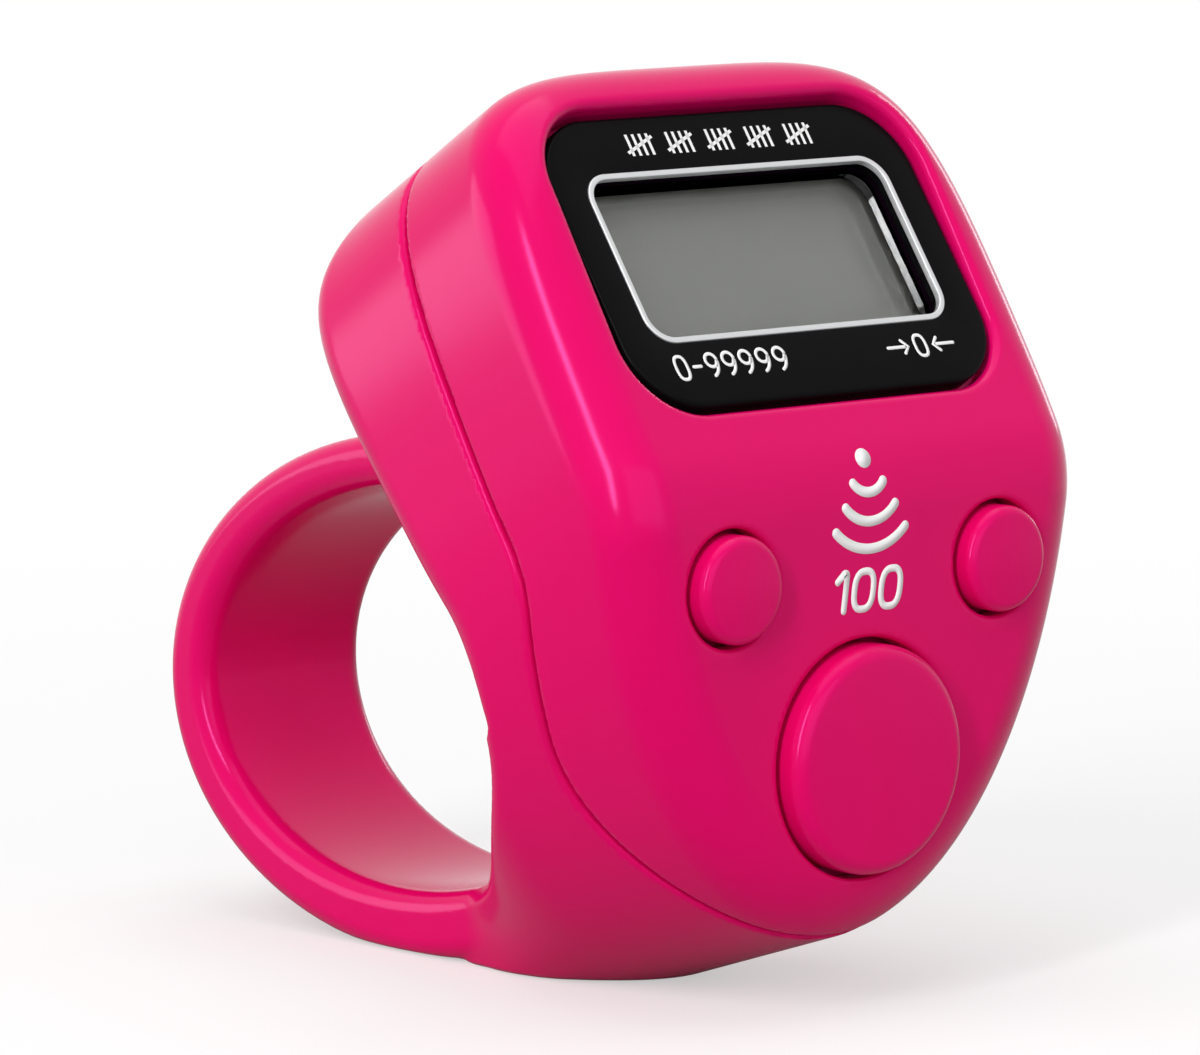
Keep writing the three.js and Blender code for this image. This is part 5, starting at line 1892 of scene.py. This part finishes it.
@dataclass(frozen=True)
class Print(Builder):
    """White ink, laid on the bezel or on the front surface."""

    ink: float = 0.012
    proud: float = 0.004

    def strokes(self, name: str, lines: Sequence[Line], half_width: float) -> bpy.types.Object:
        """One object of several strokes.

        Args:
            name: Name of the piece.
            lines: The strokes' middle lines.
            half_width: Half of the strokes' width.

        Returns:
            The object, lying flat.
        """
        pen = Pen(half_width, self.ink)
        vertices: list[Point] = []
        faces: list[list[int]] = []
        for points, closed in lines:
            more, sides = pen.stroke(points, closed)
            faces += [[corner + len(vertices) for corner in side] for side in sides]
            vertices += more
        return new_object(name, vertices, faces)

    def on_bezel(self, piece: bpy.types.Object) -> None:
        """Lays a flat piece on the bezel.

        Args:
            piece: The piece, whose mesh is in metres.
        """
        lift = Matrix.Translation((0.0, 0.0, self.proud))
        piece.data.transform(self.form.bezel.frame.matrix() @ lift @ Matrix.Scale(1.0 / MM, 4))
        point_outwards(piece)
        self.hand_over(piece, BODY, "white_print")

    def on_face(self, piece: bpy.types.Object) -> None:
        """Wraps a flat piece onto the front surface, where up is the row.

        Args:
            piece: The piece, whose mesh is in metres.
        """
        for vertex in piece.data.vertices:
            x, row, out = (value / MM for value in vertex.co)
            y, z, turn = self.form.head.front_point(np.array(row))
            out += self.proud
            vertex.co = (
                x * MM, (float(y) - out * math.cos(turn)) * MM, (float(z) + out * math.sin(turn)) * MM)
        point_outwards(piece)
        self.hand_over(piece, BODY, "white_print")


@dataclass(frozen=True)
class TallyMarks(Print):
    """The row of tally marks above the window."""

    groups: int = 5
    bars: int = 4
    group_pitch: float = 2.5
    bar_pitch: float = 0.42
    bar_width: float = 0.16
    bar_height: float = 1.15
    cross_length: float = 2.0
    lean: float = math.radians(-66.0)
    row: float = 6.1

    def build(self) -> None:
        """Sets out the marks and lays them."""
        marks = new_object("tally_marks", [(0.0, 0.0, 0.0)], [])
        tally_tree().apply(marks, {
            "Groups": self.groups, "Group pitch": self.group_pitch, "Bars": self.bars,
            "Bar pitch": self.bar_pitch, "Bar width": self.bar_width, "Bar height": self.bar_height,
            "Ink": self.ink, "Cross length": self.cross_length, "Lean": self.lean,
            "Material": self.paint.material("white_print")})
        marks.data.transform(Matrix.Scale(MM, 4) @ Matrix.Translation((0.0, self.row, self.ink / 2.0)))
        self.on_bezel(marks)


@dataclass(frozen=True)
class SmallPrint(Print):
    """A line of small print below the window."""

    row: float = -5.6
    digit_width: float = 0.68
    half_stroke: float = 0.085


@dataclass(frozen=True)
class RangeNumbers(SmallPrint):
    """The counter's range in plain numbers: a nought, a dash and a row of nines."""

    digit_height: float = 1.2
    pitch: float = 1.06
    start: float = -8.5
    dash_place: float = 0.9
    dash_share: float = 2.0 / 3.0
    nines: int = 5
    nines_place: float = 1.8

    def build(self) -> None:
        """Draws the line and lays it."""
        digits = Digits(self.digit_width, self.digit_height)
        dash = self.start + self.dash_place * self.pitch
        half = self.digit_width * self.dash_share / 2.0
        lines = [digits.zero(self.start, self.row)]
        lines.append(([(dash - half, self.row), (dash + half, self.row)], False))
        for number in range(self.nines):
            lines.append(digits.nine(self.start + (self.nines_place + number) * self.pitch, self.row))
        self.on_bezel(self.strokes("range_numbers", lines, self.half_stroke))


@dataclass(frozen=True)
class ReturnMark(SmallPrint):
    """Two arrows that close on a nought, for going back to zero."""

    digit_height: float = 1.1
    middle: float = 6.6
    tip: float = 0.8
    tail: float = 2.1
    barb: float = 0.34
    shaft_gap: float = 0.25

    def build(self) -> None:
        """Draws the mark and lays it."""
        up = self.row
        lines = [Digits(self.digit_width, self.digit_height).zero(self.middle, up)]
        for side in (-1.0, 1.0):
            tip, tail = self.middle + side * self.tip, self.middle + side * self.tail
            wing = tip + side * self.barb
            lines.append(([(tail, up), (tip + side * self.shaft_gap, up)], False))
            lines.append(([(wing, up + self.barb), (tip, up), (wing, up - self.barb)], False))
        self.on_bezel(self.strokes("return_mark", lines, self.half_stroke))


@dataclass(frozen=True)
class Pictogram(Print):
    """A dot with three arcs that widen below it, and the number 100 under them."""

    middle: float = 0.15
    arcs: tuple[Arc, ...] = (Arc(20.25, 0.95, 0.46), Arc(18.91, 1.57, 0.71), Arc(17.64, 2.19, 0.88))
    arc_points: int = 32
    arc_half_stroke: float = 0.24
    digits: Digits = Digits(1.2, 1.74, lean=0.14)
    digit_row: float = 15.75
    digit_half_stroke: float = 0.17
    flag: float = 0.34
    one_place: float = -1.58
    nought_places: tuple[float, float] = (-0.42, 1.29)
    dot_row: float = 21.85
    dot_radius: float = 0.47
    dot_points: int = 48

    def build(self) -> None:
        """Draws the arcs, the number and the dot, and lays them."""
        arcs = [arc.line(self.middle, self.arc_points) for arc in self.arcs]
        self.on_face(self.strokes("pictogram_arcs", arcs, self.arc_half_stroke))
        digits = [self.digits.one(self.middle + self.one_place, self.digit_row, self.flag)]
        digits += [self.digits.zero(self.middle + place, self.digit_row) for place in self.nought_places]
        self.on_face(self.strokes("pictogram_number", digits, self.digit_half_stroke))
        turns = np.linspace(0.0, 2.0 * math.pi, self.dot_points, endpoint=False)
        x = self.middle + self.dot_radius * np.cos(turns)
        row = self.dot_row + self.dot_radius * np.sin(turns)
        rings = [[(*place, level) for place in zip(x, row)] for level in (0.0, self.ink)]
        self.on_face(lofted("pictogram_dot", rings, closed=False))


# Stage

WHITE = (1.0, 1.0, 1.0, 1.0)


@dataclass(frozen=True)
class Lamp:
    """A rectangular light that faces the object: angles in degrees, sizes in metres, power in watts."""

    name: str
    azimuth: float
    elevation: float
    away: float
    width: float
    height: float
    power: float


LAMPS = (
    Lamp("left_strip", -66.0, 25.0, 0.55, 0.055, 0.42, 1.8),
    Lamp("rear_left_box", -135.0, 10.0, 0.6, 0.35, 0.3, 1.1),
    Lamp("right_strip", 104.0, 18.0, 0.55, 0.06, 0.25, 0.25),
    Lamp("front_fill", -14.0, 18.0, 1.1, 1.1, 0.9, 4.1),
    Lamp("top_box", 0.0, 88.0, 0.9, 0.9, 0.9, 3.6),
)


@dataclass(frozen=True)
class Studio:
    """Floor, surroundings, lights and camera."""

    target: Point = (0.0, 1.594 * MM, 21.10 * MM)
    azimuth: float = -42.0
    elevation: float = 7.2
    distance: float = 380.0 * MM
    lens: float = 239.4
    clip: tuple[float, float] = (0.01, 50.0)
    floor_reach: float = 1.2
    rim_points: int = 64
    shadow_reach: tuple[float, float] = (0.03, 0.24)
    paper: tuple[float, float] = (0.45, 0.01)
    paper_roughness: float = 0.9
    paper_gloss: float = 0.1
    glow: tuple[float, float] = (0.5, 0.98)
    air: float = 0.34

    def seen(self, wiring: Wiring) -> bpy.types.NodeSocket:
        """One where the camera, a reflection or a clear piece sees the stage, and nothing for soft light.

        Args:
            wiring: The floor's or the world's tree.

        Returns:
            The socket that holds it.
        """
        path = wiring.add("ShaderNodeLightPath").outputs
        total = path["Is Camera Ray"]
        for name in ("Is Glossy Ray", "Is Transmission Ray"):
            total = wiring.maths("MAXIMUM", total, path[name])
        return total

    def graded(
        self, wiring: Wiring, away: bpy.types.NodeSocket, ends: tuple[float, float],
    ) -> bpy.types.NodeSocket:
        """A value that goes from one end to the other over the reach of the shadow.

        Args:
            wiring: The floor's tree.
            away: Distance from the object.
            ends: The value near the object and far from it.

        Returns:
            The socket that holds it.
        """
        near, far = self.shadow_reach
        first, last = ends
        ramp = wiring.add(
            "ShaderNodeMapRange",
            {"Value": away, "From Min": near, "From Max": far, "To Min": first, "To Max": last},
            interpolation_type="SMOOTHSTEP")
        return ramp.outputs["Result"]

    def floor(self) -> None:
        """A pale floor that takes the object's shadow near it and is plain white further away."""
        turns = [2.0 * math.pi * step / self.rim_points for step in range(self.rim_points)]
        reach = self.floor_reach / MM
        rim = [(reach * math.cos(turn), reach * math.sin(turn), 0.0) for turn in turns]
        floor = new_object("studio_floor", rim, [list(range(len(rim)))])
        material = bpy.data.materials.new("studio_paper")
        material.use_nodes = True
        wiring = Wiring(material.node_tree)
        away = wiring.vector("LENGTH", first=wiring.add("ShaderNodeTexCoord").outputs["Object"])
        mirrored = wiring.maths(
            "MULTIPLY", self.graded(wiring, away, (0.0, self.glow[1])), self.seen(wiring))
        direct = wiring.add("ShaderNodeLightPath").outputs["Is Camera Ray"]
        near = wiring.maths("MULTIPLY", self.graded(wiring, away, self.glow), direct)
        wiring.feed(material.node_tree.nodes["Principled BSDF"], {
            "Base Color": self.graded(wiring, away, self.paper), "Roughness": self.paper_roughness,
            "Specular IOR Level": self.paper_gloss, "Emission Color": WHITE,
            "Emission Strength": wiring.maths("MAXIMUM", mirrored, near)})
        floor.data.materials.append(material)

    def world(self) -> None:
        """White surroundings that give the object only a little soft light."""
        world = bpy.data.worlds.new("studio_air")
        world.use_nodes = True
        wiring = Wiring(world.node_tree)
        strength = wiring.add(
            "ShaderNodeMapRange", {"Value": self.seen(wiring), "To Min": self.air, "To Max": 1.0})
        wiring.feed(
            world.node_tree.nodes["Background"], {"Color": WHITE, "Strength": strength.outputs["Result"]})
        bpy.context.scene.world = world

    def aimed(
        self, data: bpy.types.Light | bpy.types.Camera, azimuth: float, elevation: float, away: float,
    ) -> bpy.types.Object:
        """Stands a light or a camera round the object, facing it.

        Args:
            data: The light or camera.
            azimuth: Direction round the object, in degrees.
            elevation: Height over it, in degrees.
            away: Distance in metres.

        Returns:
            The object that holds it.
        """
        turn, rise = math.radians(azimuth), math.radians(elevation)
        towards = Vector((math.sin(turn) * math.cos(rise), -math.cos(turn) * math.cos(rise), math.sin(rise)))
        holder = bpy.data.objects.new(data.name, data)
        holder.location = Vector(self.target) + towards * away
        holder.rotation_euler = towards.to_track_quat("Z", "Y").to_euler()
        bpy.context.scene.collection.objects.link(holder)
        return holder

    def light(self, lamp: Lamp) -> None:
        """Hangs one lamp.

        Args:
            lamp: The lamp.
        """
        data = bpy.data.lights.new(lamp.name, "AREA")
        data.shape = "RECTANGLE"
        data.size, data.size_y = lamp.width, lamp.height
        data.energy = lamp.power
        self.aimed(data, lamp.azimuth, lamp.elevation, lamp.away)

    def camera(self) -> None:
        """The camera at the photograph's angle."""
        data = bpy.data.cameras.new("photo_camera")
        data.lens = self.lens
        data.clip_start, data.clip_end = self.clip
        scene = bpy.context.scene
        scene.camera = self.aimed(data, self.azimuth, self.elevation, self.distance)
        scene.view_settings.view_transform = "Standard"

    def build(self) -> None:
        """Sets the whole stage."""
        self.floor()
        self.world()
        for lamp in LAMPS:
            self.light(lamp)
        self.camera()


def dress_frame(paint: Paint) -> None:
    """Gives every CAD node its procedural finish.

    Args:
        paint: The materials.
    """
    for name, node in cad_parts.items():
        if node.type != "MESH" or not node.data.materials:
            continue
        slot = node.data.materials[0].name.split(".")[0]
        node.data.materials[0] = paint.material(slot)
        log.debug("%s has %s", name, slot)


def main() -> None:
    """Builds the looks and the stage."""
    logging.basicConfig(level=logging.INFO, format="%(name)s: %(message)s")
    form = CounterForm()
    paint = Paint()
    dress_frame(paint)
    for maker in (Casing, Keys, Display, Screws, TallyMarks, RangeNumbers, ReturnMark, Pictogram):
        maker(form, paint).build()
    Studio().build()


if __name__ == "__main__":
    main()
